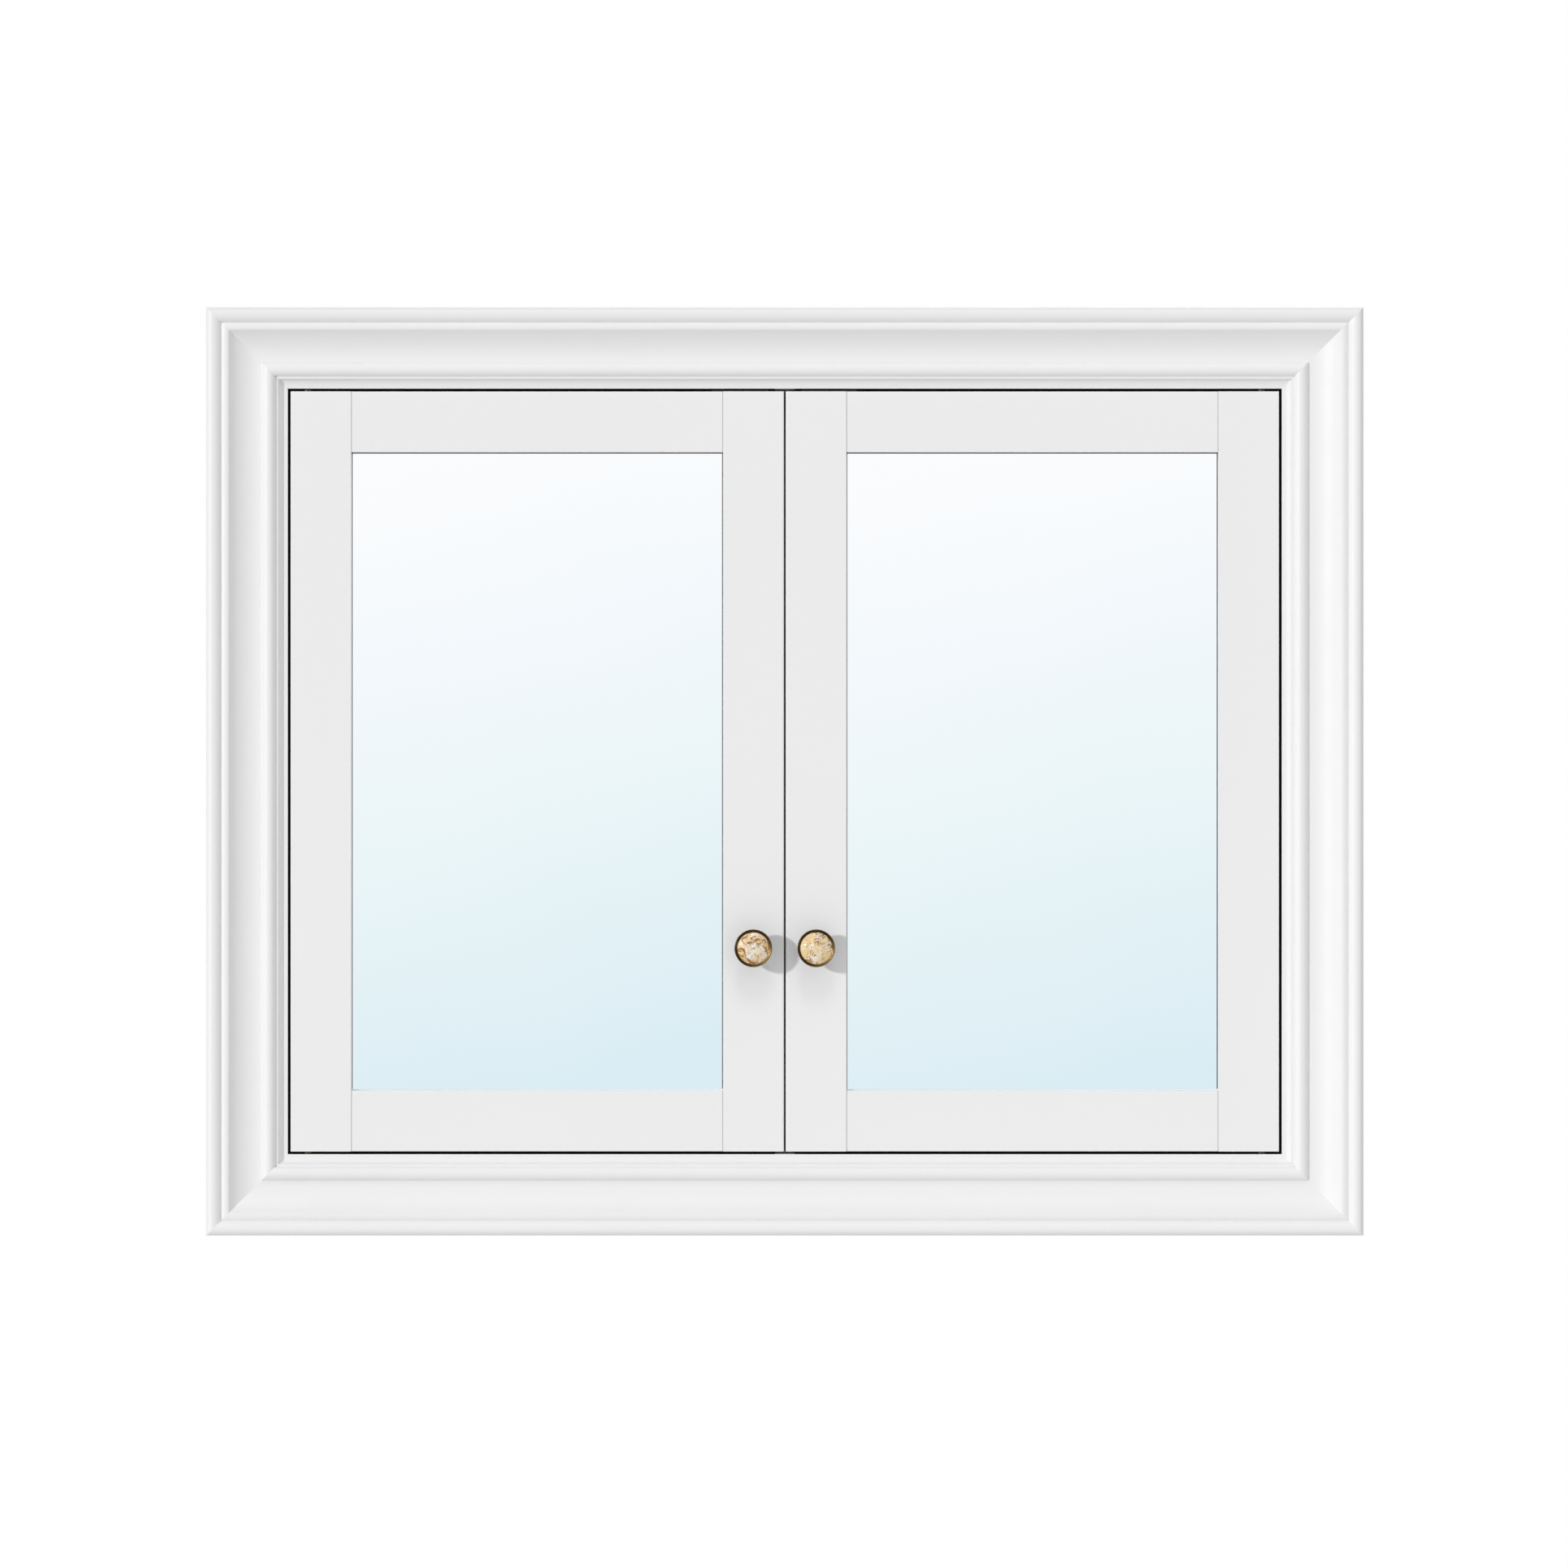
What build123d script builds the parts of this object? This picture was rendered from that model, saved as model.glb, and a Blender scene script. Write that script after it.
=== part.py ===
"""A recessed two-door medicine cabinet with a mitred picture-frame moulding.

The moulding covers the edge of a wall cut-out.  Behind it a shallow box of panels
reaches into the wall, with a centre divider and glass shelves.  Two flush doors, each a
frame of stiles and rails round a mirror, hang on pivot hinges hidden in the gap above
and below them, and close on magnetic catches.

Frame: +X to the viewer's right, +Y into the wall, +Z up.  The origin is the middle of
the door opening, on the wall's surface, so the moulding's back lies on Y = 0.
Every size is in millimetres.
"""
from build123d import *
import os

# Moulded frame
frame_width = 950.0
frame_height = 762.0
moulding_width = 66.0
lip_height = 13.0
lip_round = 0.7
bead_top_height = 31.2
bead_top_place = 5.5
bead_width = 12.4
bead_drop = 4.0
fillet_width = 6.2
fillet_rise = 0.9
fillet_crown = 0.8
cove_run = 22.5
cove_drop = 10.6
cove_runout = 3.4
astragal_outer_run = 6.2
astragal_inner_run = 5.4
astragal_rise = 4.4
quirk_width = 2.2
inner_cove_radius = 4.6
back_relief_depth = 2.0
back_relief_start = 10.0
back_relief_width = 34.0

# Mitre keys, bow-tie wedges set into the moulding's back across each mitre
key_place = 22.0
key_length = 15.0
key_waist = 4.0
key_end = 8.0
key_depth = 8.0

# Box behind the wall
panel_thickness = 15.0
box_depth = 95.0
back_thickness = 5.0
back_rebate = 8.0
back_clearance = 0.5
divider_thickness = 16.0

# Doors
side_gap = 2.2
end_gap = 2.2
meeting_gap = 1.6
door_thickness = 19.0
member_width = 50.0
outer_edge_round = 1.0
sight_edge_round = 0.5
joint_arris = 0.3
sight_lip = 6.5
rebate_width = 9.0
tenon_length = 10.0
tenon_thickness = 6.0
tenon_shoulder = 8.0
tenon_wall = 1.0
mirror_thickness = 5.0
mirror_edge_clearance = 0.6

# Pivot hinges
pivot_from_edge = 14.0
pivot_from_face = 7.0
leaf_width = 9.0
leaf_reach = 25.0
leaf_thickness = 2.4
pivot_pin_radius = 2.5
pin_end_length = 3.0
pin_end_clearance = 1.0
running_clearance = 0.05
washer_radius = 4.2
washer_clearance = 0.1
leaf_screw_first = 10.0
leaf_screw_spacing = 9.0

# Shelves and their pins
shelf_thickness = 6.0
shelf_front = 17.0
shelf_back_gap = 3.0
shelf_side_clearance = 1.0
shelf_corner_radius = 3.0
shelf_arris = 0.6
pin_radius = 2.45
pin_hole_radius = 2.5
pin_hole_depth = 7.0
pin_flange_radius = 4.0
pin_flange_thickness = 1.2
pin_tongue_length = 10.0
pin_tongue_width = 8.0
pin_tongue_thickness = 2.0
pin_from_shelf_edge = 10.0
hole_pitch = 32.0
holes_above_middle = 4
shelf_hole_step = 3

# Dowels
dowel_radius = 4.0
dowel_length = 30.0
dowel_in_panel = 10.0
dowel_in_moulding = 8.0
dowel_clearance = 0.1
dowel_inset = 25.0
moulding_dowel_spread = 250.0

# Screws
screw_head_radius = 2.9
screw_head_height = 1.7
screw_shank_radius = 1.4
screw_length = 15.0
screw_tip = 3.0
screw_clearance = 0.1
back_screw_inset = 40.0
back_screws_across = 5
back_screws_up = 4

# Wall fixing holes, two through each side panel
wall_hole_radius = 2.75
wall_hole_spacing = 400.0
wall_hole_depth_place = 52.0

# Magnetic catches, strikes and bumpers
catch_width = 46.0
catch_depth = 14.0
catch_height = 12.0
catch_ear = 9.0
catch_ear_thickness = 3.0
catch_from_divider = 6.0
magnet_width = 22.0
magnet_height = 8.0
magnet_depth = 9.0
magnet_clearance = 0.1
strike_width = 34.0
strike_height = 12.0
strike_thickness = 1.2
strike_corner_radius = 2.0
strike_screw_margin = 2.0
strike_gap = 0.4
strike_from_end = 2.0
bumper_radius = 3.0
bumper_height = 1.2
bumper_from_end = 30.0
bumper_round = 0.84
divider_setback = 1.5

# Mirror clips on the door's back
clip_length = 24.0
clip_width = 10.0
clip_thickness = 1.5
clip_hole_from_end = 7.0
clip_screw_length = 9.0
clip_pilot_spare = 1.0
clip_spread = 0.8
clips_up = 3
clips_across = 2

# Knobs
knob_drop = 145.0
knob_radius = 15.4
knob_projection = 26.0
knob_base_radius = 7.5
knob_base_height = 2.5
knob_neck_radius = 5.0
knob_rim_height = 5.0
knob_rim_width = 2.2
insert_seat_depth = 2.5
insert_clearance = 0.15
insert_crown = 3.4
knob_screw_radius = 2.0
knob_screw_hole = 2.3
knob_screw_head_radius = 4.0
knob_screw_head_height = 2.2
knob_screw_head_round = 1.3
knob_screw_in_knob = 12.0
knob_screw_spare = 0.5

# Places worked out from the sizes above
opening_width = frame_width - 2 * moulding_width
opening_height = frame_height - 2 * moulding_width
half_opening = opening_width / 2
half_rise = opening_height / 2
box_half_width = half_opening + panel_thickness
box_half_height = half_rise + panel_thickness
back_front = box_depth - back_thickness

door_front = -lip_height
door_back = door_front + door_thickness
door_outer = -half_opening + side_gap
door_inner = -meeting_gap / 2
door_half_height = half_rise - end_gap
sight_left = door_outer + member_width
sight_right = door_inner - member_width
sight_half_height = door_half_height - member_width
mirror_front = door_front + sight_lip
mirror_back = mirror_front + mirror_thickness

pivot_x = door_outer + pivot_from_edge
pivot_y = door_front + pivot_from_face
divider_front = door_back + divider_setback
shelf_back = back_front - shelf_back_gap
pin_rows = (shelf_front + pin_from_shelf_edge, shelf_back - pin_from_shelf_edge)
hole_heights = [hole_pitch * step for step in range(-holes_above_middle, holes_above_middle + 1)]
shelf_holes = (-hole_pitch * shelf_hole_step, hole_pitch * shelf_hole_step)
knob_x = door_inner - member_width / 2
knob_z = -knob_drop
catch_x = -(divider_thickness / 2 + catch_from_divider + catch_width / 2)
catch_front = door_back + strike_thickness + strike_gap


def block(x, y, z):
    """A box between the given (low, high) limits on each axis."""
    size = [high - low for low, high in (x, y, z)]
    middle = [(high + low) / 2 for low, high in (x, y, z)]
    return Pos(*middle) * Box(*size)


def rod(start, along, radius, length):
    """A cylinder from a point, along a direction."""
    place = Plane(origin=start, z_dir=along)
    return place * Cylinder(radius, length, align=(Align.CENTER, Align.CENTER, Align.MIN))


def mirrored(shape):
    """The same piece for the right-hand side."""
    return mirror(shape, about=Plane.YZ)


def group(solids):
    """Several separate solids kept together as one node."""
    return Compound(children=[solid for shape in solids for solid in shape.solids()])


def spread(reach, count):
    """Evenly spaced places from -reach to reach."""
    return [reach * (2 * step / (count - 1) - 1) for step in range(count)]


def cut_all(host, tools):
    """The host with every tool taken out of it."""
    for tool in tools:
        host = host - tool
    return host


def arc_about(start, end, centre):
    """The shorter arc between two points of one circle, from the circle's centre."""
    start, end, centre = Vector(*start), Vector(*end), Vector(*centre)
    middle = (start + end) / 2 - centre
    crown = centre + middle.normalized() * (start - centre).length
    return ThreePointArc(start, crown, end)


def radius_for(run, drop):
    """Radius of an arc that starts level and falls by drop over run."""
    return (run**2 + drop**2) / (2 * drop)


def moulding_profile():
    """Section of the moulding, as a face across X.

    A point is given by its distance in from the outer edge and its height off the wall.
    From the outer edge: a bead, a crowned fillet, a wide cove, an astragal, a small cove
    and a flat lip.  The lip's edge is the door opening.
    """

    def point(inward, height):
        return (-height, -inward)

    fillet_end = bead_width + fillet_width
    valley = bead_top_height - bead_drop
    cove_top = valley + fillet_rise
    cove_low = fillet_end + cove_run
    cove_floor = cove_top - cove_drop
    cove_radius = radius_for(cove_run, cove_drop)
    cove_centre = (cove_low, cove_floor + cove_radius)
    cove_end = cove_low + cove_runout
    cove_end_height = cove_centre[1] - (cove_radius**2 - cove_runout**2) ** 0.5
    crest = cove_end + astragal_outer_run
    crest_height = cove_end_height + astragal_rise
    outer_crest_radius = radius_for(astragal_outer_run, astragal_rise)
    step_height = lip_height + inner_cove_radius
    step_start = crest + astragal_inner_run
    inner_crest_radius = radius_for(astragal_inner_run, crest_height - step_height)
    bead_outer_radius = bead_top_place
    bead_inner_radius = radius_for(bead_width - bead_top_place, bead_drop)
    inner_cove_start = step_start + quirk_width
    relief_end = back_relief_start + back_relief_width

    with BuildSketch(Plane.YZ) as section:
        with BuildLine():
            shoulder = bead_top_height - bead_outer_radius
            Line(point(0, 0), point(0, shoulder))
            arc_about(
                point(0, shoulder),
                point(bead_top_place, bead_top_height),
                point(bead_top_place, shoulder),
            )
            arc_about(
                point(bead_top_place, bead_top_height),
                point(bead_width, valley),
                point(bead_top_place, bead_top_height - bead_inner_radius),
            )
            ThreePointArc(
                point(bead_width, valley),
                point(bead_width + fillet_width / 2, (valley + cove_top) / 2 + fillet_crown),
                point(fillet_end, cove_top),
            )
            arc_about(point(fillet_end, cove_top), point(cove_end, cove_end_height), point(*cove_centre))
            arc_about(
                point(cove_end, cove_end_height),
                point(crest, crest_height),
                point(crest, crest_height - outer_crest_radius),
            )
            arc_about(
                point(crest, crest_height),
                point(step_start, step_height),
                point(crest, crest_height - inner_crest_radius),
            )
            Line(point(step_start, step_height), point(inner_cove_start, step_height))
            arc_about(
                point(inner_cove_start, step_height),
                point(inner_cove_start + inner_cove_radius, lip_height),
                point(inner_cove_start + inner_cove_radius, step_height),
            )
            Line(
                point(inner_cove_start + inner_cove_radius, lip_height),
                point(moulding_width - lip_round, lip_height),
            )
            arc_about(
                point(moulding_width - lip_round, lip_height),
                point(moulding_width, lip_height - lip_round),
                point(moulding_width - lip_round, lip_height - lip_round),
            )
            Polyline(
                point(moulding_width, lip_height - lip_round),
                point(moulding_width, 0),
                point(relief_end, 0),
                point(relief_end - back_relief_depth, back_relief_depth),
                point(back_relief_start + back_relief_depth, back_relief_depth),
                point(back_relief_start, 0),
                point(0, 0),
            )
        make_face()
    return section.sketch


def moulding_length(outer_length):
    """One mitred length, level, with its outer edge up at Z = 0 and its back on Y = 0."""
    bar = extrude(Pos(-outer_length / 2, 0, 0) * moulding_profile(), amount=outer_length, dir=(1, 0, 0))
    half = outer_length / 2
    with BuildSketch(Plane.XZ) as wedge:
        with BuildLine():
            Polyline(
                (-half, 0),
                (half, 0),
                (half - moulding_width, -moulding_width),
                (-half + moulding_width, -moulding_width),
                (-half, 0),
            )
        make_face()
    mitre = extrude(wedge.sketch, amount=bead_top_height * 2, both=True)
    return bar & mitre


def bow_tie(grow):
    """A mitre key, lying in XZ across the X axis, from the back relief into the wood."""
    half_length, half_waist, half_end = key_length / 2 + grow, key_waist / 2 + grow, key_end / 2 + grow
    outline = [
        (-half_length, -half_end),
        (0, -half_waist),
        (half_length, -half_end),
        (half_length, half_end),
        (0, half_waist),
        (-half_length, half_end),
    ]
    face = make_face(Polyline(*outline, close=True))
    solid = extrude(face, amount=key_depth + grow)
    return Pos(0, -back_relief_depth, 0) * Rot(90, 0, 0) * solid


def mitre_keys(grow=0.0):
    """The four keys, each square across its mitre."""
    reach_x = frame_width / 2 - key_place
    reach_z = frame_height / 2 - key_place
    return [
        Pos(side * reach_x, 0, rise * reach_z) * Rot(0, side * rise * 45, 0) * bow_tie(grow)
        for side in (-1, 1)
        for rise in (-1, 1)
    ]


def dowel(start, along, grow=0.0):
    """A plain round dowel from a point, along a direction."""
    return rod(start, along, dowel_radius + grow, dowel_length)


def carcass_dowels(grow=0.0):
    """Dowels that join the panels: two at each end of the top, bottom and divider."""
    rows = (dowel_inset, back_front - dowel_inset)
    found = []
    for row in rows:
        for rise in (-1, 1):
            height = rise * (half_rise + panel_thickness / 2)
            for side in (-1, 1):
                start = (side * (half_opening + dowel_in_panel), row, height)
                found.append(dowel(start, (-side, 0, 0), grow))
            start = (0, row, rise * (half_rise + dowel_in_panel))
            found.append(dowel(start, (0, 0, -rise), grow))
    return found


def moulding_dowels(grow=0.0):
    """Dowels from the front edges of the box into the moulding's back."""
    found = []
    for step in (-1, 0, 1):
        for side in (-1, 1):
            across = step * moulding_dowel_spread
            beside = side * (half_opening + panel_thickness / 2)
            above = side * (half_rise + panel_thickness / 2)
            found.append(dowel((beside, -dowel_in_moulding, across), (0, 1, 0), grow))
            found.append(dowel((across, -dowel_in_moulding, above), (0, 1, 0), grow))
    return found


def screw(length=screw_length, grow=0.0):
    """A countersunk wood screw, head up at Z = 0, pointing down."""
    head, shank = screw_head_radius + grow, screw_shank_radius + grow
    outline = [
        (0, 0),
        (head, 0),
        (shank, -screw_head_height),
        (shank, -length + screw_tip - grow),
        (0, -length - grow),
    ]
    face = make_face(Polyline(*[(r, 0, z) for r, z in outline], close=True))
    return revolve(face, axis=Axis.Z)


def screw_at(place, into, length=screw_length, grow=0.0):
    """A countersunk screw with its head's face at a place, driven in a direction."""
    seat = Plane(origin=place, z_dir=[-part for part in into])
    return seat * screw(length, grow)


def leaf_outline(height):
    """A hinge leaf lying level from Z = 0 up, its pivot on the Z axis, reaching along +X."""
    eye = Cylinder(leaf_width / 2, height, align=(Align.CENTER, Align.CENTER, Align.MIN))
    return eye + block((0, leaf_reach), (-leaf_width / 2, leaf_width / 2), (0, height))


def leaf_screw_places(rise, height):
    """Where a leaf's two screws have their heads, for the upper or lower hinge."""
    return [
        (pivot_x + leaf_screw_first + step * leaf_screw_spacing, pivot_y, rise * height)
        for step in (0, 1)
    ]


def leaf_at(rise, inner_height, outer_height):
    """A plain leaf between two distances from the middle, above or below it."""
    low = min(rise * inner_height, rise * outer_height)
    return Pos(pivot_x, pivot_y, low) * leaf_outline(outer_height - inner_height)


def fixed_leaf(rise):
    """The leaf let into the moulding's inner edge, with its pivot pin."""
    leaf = leaf_at(rise, half_rise, half_rise + leaf_thickness)
    pin_end = door_half_height - leaf_thickness - pin_end_length
    pin = rod((pivot_x, pivot_y, rise * pin_end), (0, 0, rise), pivot_pin_radius, half_rise - pin_end)
    screws = [
        screw_at(place, (0, 0, rise), grow=screw_clearance)
        for place in leaf_screw_places(rise, half_rise)
    ]
    return cut_all(leaf + pin, screws)


def door_leaf(rise):
    """The leaf let into the door's end, bored for the pin."""
    leaf = leaf_at(rise, door_half_height - leaf_thickness, door_half_height)
    bore = rod(
        (pivot_x, pivot_y, 0),
        (0, 0, rise),
        pivot_pin_radius + running_clearance,
        door_half_height + end_gap,
    )
    screws = [
        screw_at(place, (0, 0, -rise), grow=screw_clearance)
        for place in leaf_screw_places(rise, door_half_height)
    ]
    return cut_all(leaf, [bore] + screws)


def hinge_washer(rise):
    """The thrust washer on the pin, between the two leaves."""
    low = door_half_height + washer_clearance
    thickness = end_gap - 2 * washer_clearance
    start = (pivot_x, pivot_y, rise * low)
    ring = rod(start, (0, 0, rise), washer_radius, thickness)
    return ring - rod(start, (0, 0, rise), pivot_pin_radius + running_clearance, thickness)


def fixed_hinge_screws(grow=0.0):
    """Screws of the leaves in the moulding, on the left side."""
    return [
        screw_at(place, (0, 0, rise), grow=grow)
        for rise in (-1, 1)
        for place in leaf_screw_places(rise, half_rise)
    ]


def catch_screws(grow=0.0):
    """Screws of the left catch, up through its ears into the top panel."""
    reach = (catch_width - catch_ear) / 2
    height = half_rise - catch_ear_thickness
    middle = catch_front + catch_depth / 2
    return [
        screw_at((catch_x + side * reach, middle, height), (0, 0, 1), panel_thickness, grow)
        for side in (-1, 1)
    ]


def build_catch():
    """The left catch's housing: a body with an ear each side, open in front for its magnet."""
    top = half_rise
    rear = catch_front + catch_depth
    half_body = catch_width / 2 - catch_ear
    body = block((catch_x - half_body, catch_x + half_body), (catch_front, rear), (top - catch_height, top))
    ears = block(
        (catch_x - catch_width / 2, catch_x + catch_width / 2),
        (catch_front, rear),
        (top - catch_ear_thickness, top),
    )
    return cut_all(body + ears, [catch_magnet(magnet_clearance)] + catch_screws(screw_clearance))


def catch_magnet(grow=0.0):
    """The left catch's magnet, flush with the housing's front."""
    middle = half_rise - catch_height / 2
    half_width = magnet_width / 2 + grow
    half_height = magnet_height / 2 + grow
    return block(
        (catch_x - half_width, catch_x + half_width),
        (catch_front, catch_front + magnet_depth + grow),
        (middle - half_height, middle + half_height),
    )


def back_panel_screws(grow=0.0):
    """Screws round the back panel's edge and up the divider."""
    edge_x = half_opening + back_rebate / 2
    edge_z = half_rise + back_rebate / 2
    places = []
    for x in spread(half_opening - back_screw_inset, back_screws_across):
        places += [(x, -edge_z), (x, edge_z)]
    for z in spread(half_rise - back_screw_inset, back_screws_up):
        places += [(-edge_x, z), (0, z), (edge_x, z)]
    return [screw_at((x, box_depth, z), (0, -1, 0), grow=grow) for x, z in places]


def pin_holes(face_x, into):
    """The rows of shelf-pin holes in one panel face; into is the X direction of the hole."""
    return [
        rod((face_x, row, height), (into, 0, 0), pin_hole_radius, pin_hole_depth)
        for row in pin_rows
        for height in hole_heights
    ]


def wall_holes(side):
    """The two fixing holes through one side panel."""
    start = side * (half_opening - panel_thickness)
    return [
        rod((start, wall_hole_depth_place, rise * wall_hole_spacing / 2), (side, 0, 0),
            wall_hole_radius, 3 * panel_thickness)
        for rise in (-1, 1)
    ]


def shelf_pin(face_x, out, row, height):
    """A pin in its hole with a flange and a tongue under the glass; out points into the bay."""
    face = (face_x, row, height)
    inside = (face_x - out * pin_hole_depth, row, height)
    shank = rod(inside, (out, 0, 0), pin_radius, pin_hole_depth)
    flange = rod(face, (out, 0, 0), pin_flange_radius, pin_flange_thickness)
    top = height + pin_radius
    ends = sorted((face_x, face_x + out * pin_tongue_length))
    tongue = block(
        ends,
        (row - pin_tongue_width / 2, row + pin_tongue_width / 2),
        (top - pin_tongue_thickness, top),
    )
    above = block(
        (face_x - panel_thickness, face_x + panel_thickness),
        (row - pin_tongue_width, row + pin_tongue_width),
        (top, top + pin_flange_radius),
    )
    return shank + (flange - above) + tongue


def left_shelf(hole_height):
    """A glass shelf for the left bay, on the pins at the given hole height."""
    low = hole_height + pin_radius
    x = (-half_opening + shelf_side_clearance, -divider_thickness / 2 - shelf_side_clearance)
    plate = block(x, (shelf_front, shelf_back), (low, low + shelf_thickness))
    plate = fillet(plate.edges().filter_by(Axis.Z), shelf_corner_radius)
    return chamfer(plate.faces().filter_by(Axis.Z).edges(), shelf_arris)


def member_section(width):
    """Section of a door member: X from its outer edge to its sight edge, Y from face to back."""
    with BuildSketch() as section:
        with BuildLine():
            near, far = outer_edge_round, width - sight_edge_round
            arc_about((0, near), (near, 0), (near, near))
            Line((near, 0), (far, 0))
            arc_about((far, 0), (width, sight_edge_round), (far, sight_edge_round))
            Polyline((width, sight_edge_round), (width, door_thickness), (0, door_thickness), (0, near))
        make_face()
    return section.sketch


def mirror_recess():
    """The space behind the sight lip that takes the mirror and its backing."""
    return block(
        (sight_left - rebate_width, sight_right + rebate_width),
        (mirror_front, door_back),
        (-sight_half_height - rebate_width, sight_half_height + rebate_width),
    )


def rail_tenon(rise, x_limits):
    """A rail's end tenon between two X limits, for the upper or lower rail."""
    middle = (door_front + door_back) / 2
    z = sorted((
        rise * (sight_half_height + rebate_width + tenon_wall),
        rise * (door_half_height - tenon_shoulder),
    ))
    return block(x_limits, (middle - tenon_thickness / 2, middle + tenon_thickness / 2), z)


def tenon_spans():
    """X limits of the tenons at the hinge side and at the meeting side."""
    return (sight_left - tenon_length, sight_left), (sight_right, sight_right + tenon_length)


def left_stile(at_hinge):
    """The hinge or meeting stile of the left door, full height, with its mortises."""
    bar = extrude(member_section(member_width), amount=2 * door_half_height)
    if not at_hinge:
        bar = mirrored(bar)
    edge = door_outer if at_hinge else door_inner
    span = tenon_spans()[0 if at_hinge else 1]
    bar = Pos(edge, door_front, -door_half_height) * bar
    bar = cut_all(bar, [mirror_recess()] + [rail_tenon(rise, span) for rise in (-1, 1)])
    if not at_hinge:
        return bar - knob_bore()
    tools = door_hinge_screws(screw_clearance)
    pocket = pin_end_length + pin_end_clearance
    for rise in (-1, 1):
        tools.append(leaf_at(rise, door_half_height - leaf_thickness, door_half_height))
        inner = rise * (door_half_height - leaf_thickness - pocket)
        pocket_radius = pivot_pin_radius + pin_end_clearance
        tools.append(rod((pivot_x, pivot_y, inner), (0, 0, rise), pocket_radius, pocket))
    return cut_all(bar, tools)


def left_rail(rise):
    """The top or bottom rail of the left door, with a tenon at each end."""
    length = sight_right - sight_left
    bar = extrude(member_section(member_width), amount=length)
    for end in bar.faces().filter_by(Axis.Z):
        front = end.edges().filter_by_position(Axis.Y, -outer_edge_round, outer_edge_round)
        bar = chamfer(front, joint_arris)
    bar = Rot(0, 90, 0) * bar
    if rise < 0:
        bar = mirror(bar, about=Plane.XY)
    bar = Pos(sight_left, door_front, rise * door_half_height) * bar
    bar = bar - mirror_recess()
    for span in tenon_spans():
        bar = bar + rail_tenon(rise, span)
    return bar


def left_mirror():
    """The silvered glass, in the recess behind the lip."""
    reach = rebate_width - mirror_edge_clearance
    return block(
        (sight_left - reach, sight_right + reach),
        (mirror_front, mirror_back),
        (-sight_half_height - reach, sight_half_height + reach),
    )


def left_backing():
    """The board behind the mirror, flush with the door's back."""
    reach = rebate_width - mirror_edge_clearance
    return block(
        (sight_left - reach, sight_right + reach),
        (mirror_back, door_back),
        (-sight_half_height - reach, sight_half_height + reach),
    )


def clip_places():
    """Each clip's screw place on the left door's back, and the way the clip points."""
    hold = clip_length - clip_hole_from_end
    half_lap = hold / 2
    left = sight_left - rebate_width - half_lap
    right = sight_right + rebate_width + half_lap
    edge = sight_half_height + rebate_width + half_lap
    places = []
    for z in spread(sight_half_height * clip_spread, clips_up):
        places += [(left, z, 0), (right, z, 180)]
    for step in range(clips_across):
        x = sight_left + (sight_right - sight_left) * (step + 0.5) / clips_across
        places += [(x, edge, 90), (x, -edge, -90)]
    return places


def mirror_clip():
    """A flat clip with round ends, hole at the origin, reaching along +X, on Y = 0 and up in Y."""
    half = clip_width / 2
    far = clip_length - clip_hole_from_end - half
    near = half - clip_hole_from_end
    plate = block((near, far), (0, clip_thickness), (-half, half))
    for end in (near, far):
        plate = plate + rod((end, 0, 0), (0, 1, 0), half, clip_thickness)
    return plate - rod((0, 0, 0), (0, 1, 0), screw_shank_radius + screw_clearance, clip_thickness)


def clip_screw(grow=0.0):
    """A round-head screw through a clip at the origin, driven along -Y."""
    head = rod((0, clip_thickness, 0), (0, 1, 0), screw_head_radius, screw_head_height)
    head = chamfer(head.edges().group_by(Axis.Y)[-1], screw_head_height / 2)
    length = clip_thickness + clip_screw_length + grow
    shank = rod((0, clip_thickness, 0), (0, -1, 0), screw_shank_radius + grow, length)
    return head + shank


def on_clip_places(shape):
    """A clip-sized piece repeated at every clip place."""
    return [
        Pos(x, door_back, z) * Rot(0, -turn, 0) * shape
        for x, z, turn in clip_places()
    ]


def door_hinge_screws(grow=0.0):
    """Screws of the leaves in the left door's ends."""
    return [
        screw_at(place, (0, 0, -rise), grow=grow)
        for rise in (-1, 1)
        for place in leaf_screw_places(rise, door_half_height)
    ]


def strike_screws(grow=0.0):
    """The two screws of the left strike plate."""
    reach = strike_width / 2 - screw_head_radius - strike_screw_margin
    height = door_half_height - strike_from_end - strike_height / 2
    face = door_back + strike_thickness
    return [
        screw_at((catch_x + side * reach, face, height), (0, -1, 0), screw_length, grow)
        for side in (-1, 1)
    ]


def build_strike():
    """The steel plate on the door's back that meets the magnet."""
    top = door_half_height - strike_from_end
    half = strike_width / 2
    plate = block((catch_x - half, catch_x + half), (door_back, door_back + strike_thickness),
                  (top - strike_height, top))
    plate = fillet(plate.edges().filter_by(Axis.Y), strike_corner_radius)
    return cut_all(plate, strike_screws(screw_clearance))


def build_bumper(rise):
    """A clear stick-on bumper between the door's back and the divider's edge."""
    middle = (door_inner - divider_thickness / 2) / 2
    place = (middle, door_back, rise * (door_half_height - bumper_from_end))
    dome = rod(place, (0, 1, 0), bumper_radius, bumper_height)
    return fillet(dome.edges().group_by(Axis.Y)[-1], bumper_round)


def knob_bore():
    """The clearance hole for a knob's screw, through the meeting stile."""
    return rod((knob_x, door_front, knob_z), (0, 1, 0), knob_screw_hole, door_thickness)


def turned(outline):
    """A turned piece from (radius, distance out from the door's face) points and arcs."""
    face = make_face(outline)
    piece = revolve(face, axis=Axis.Y)
    return Pos(knob_x, door_front, knob_z) * piece


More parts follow.
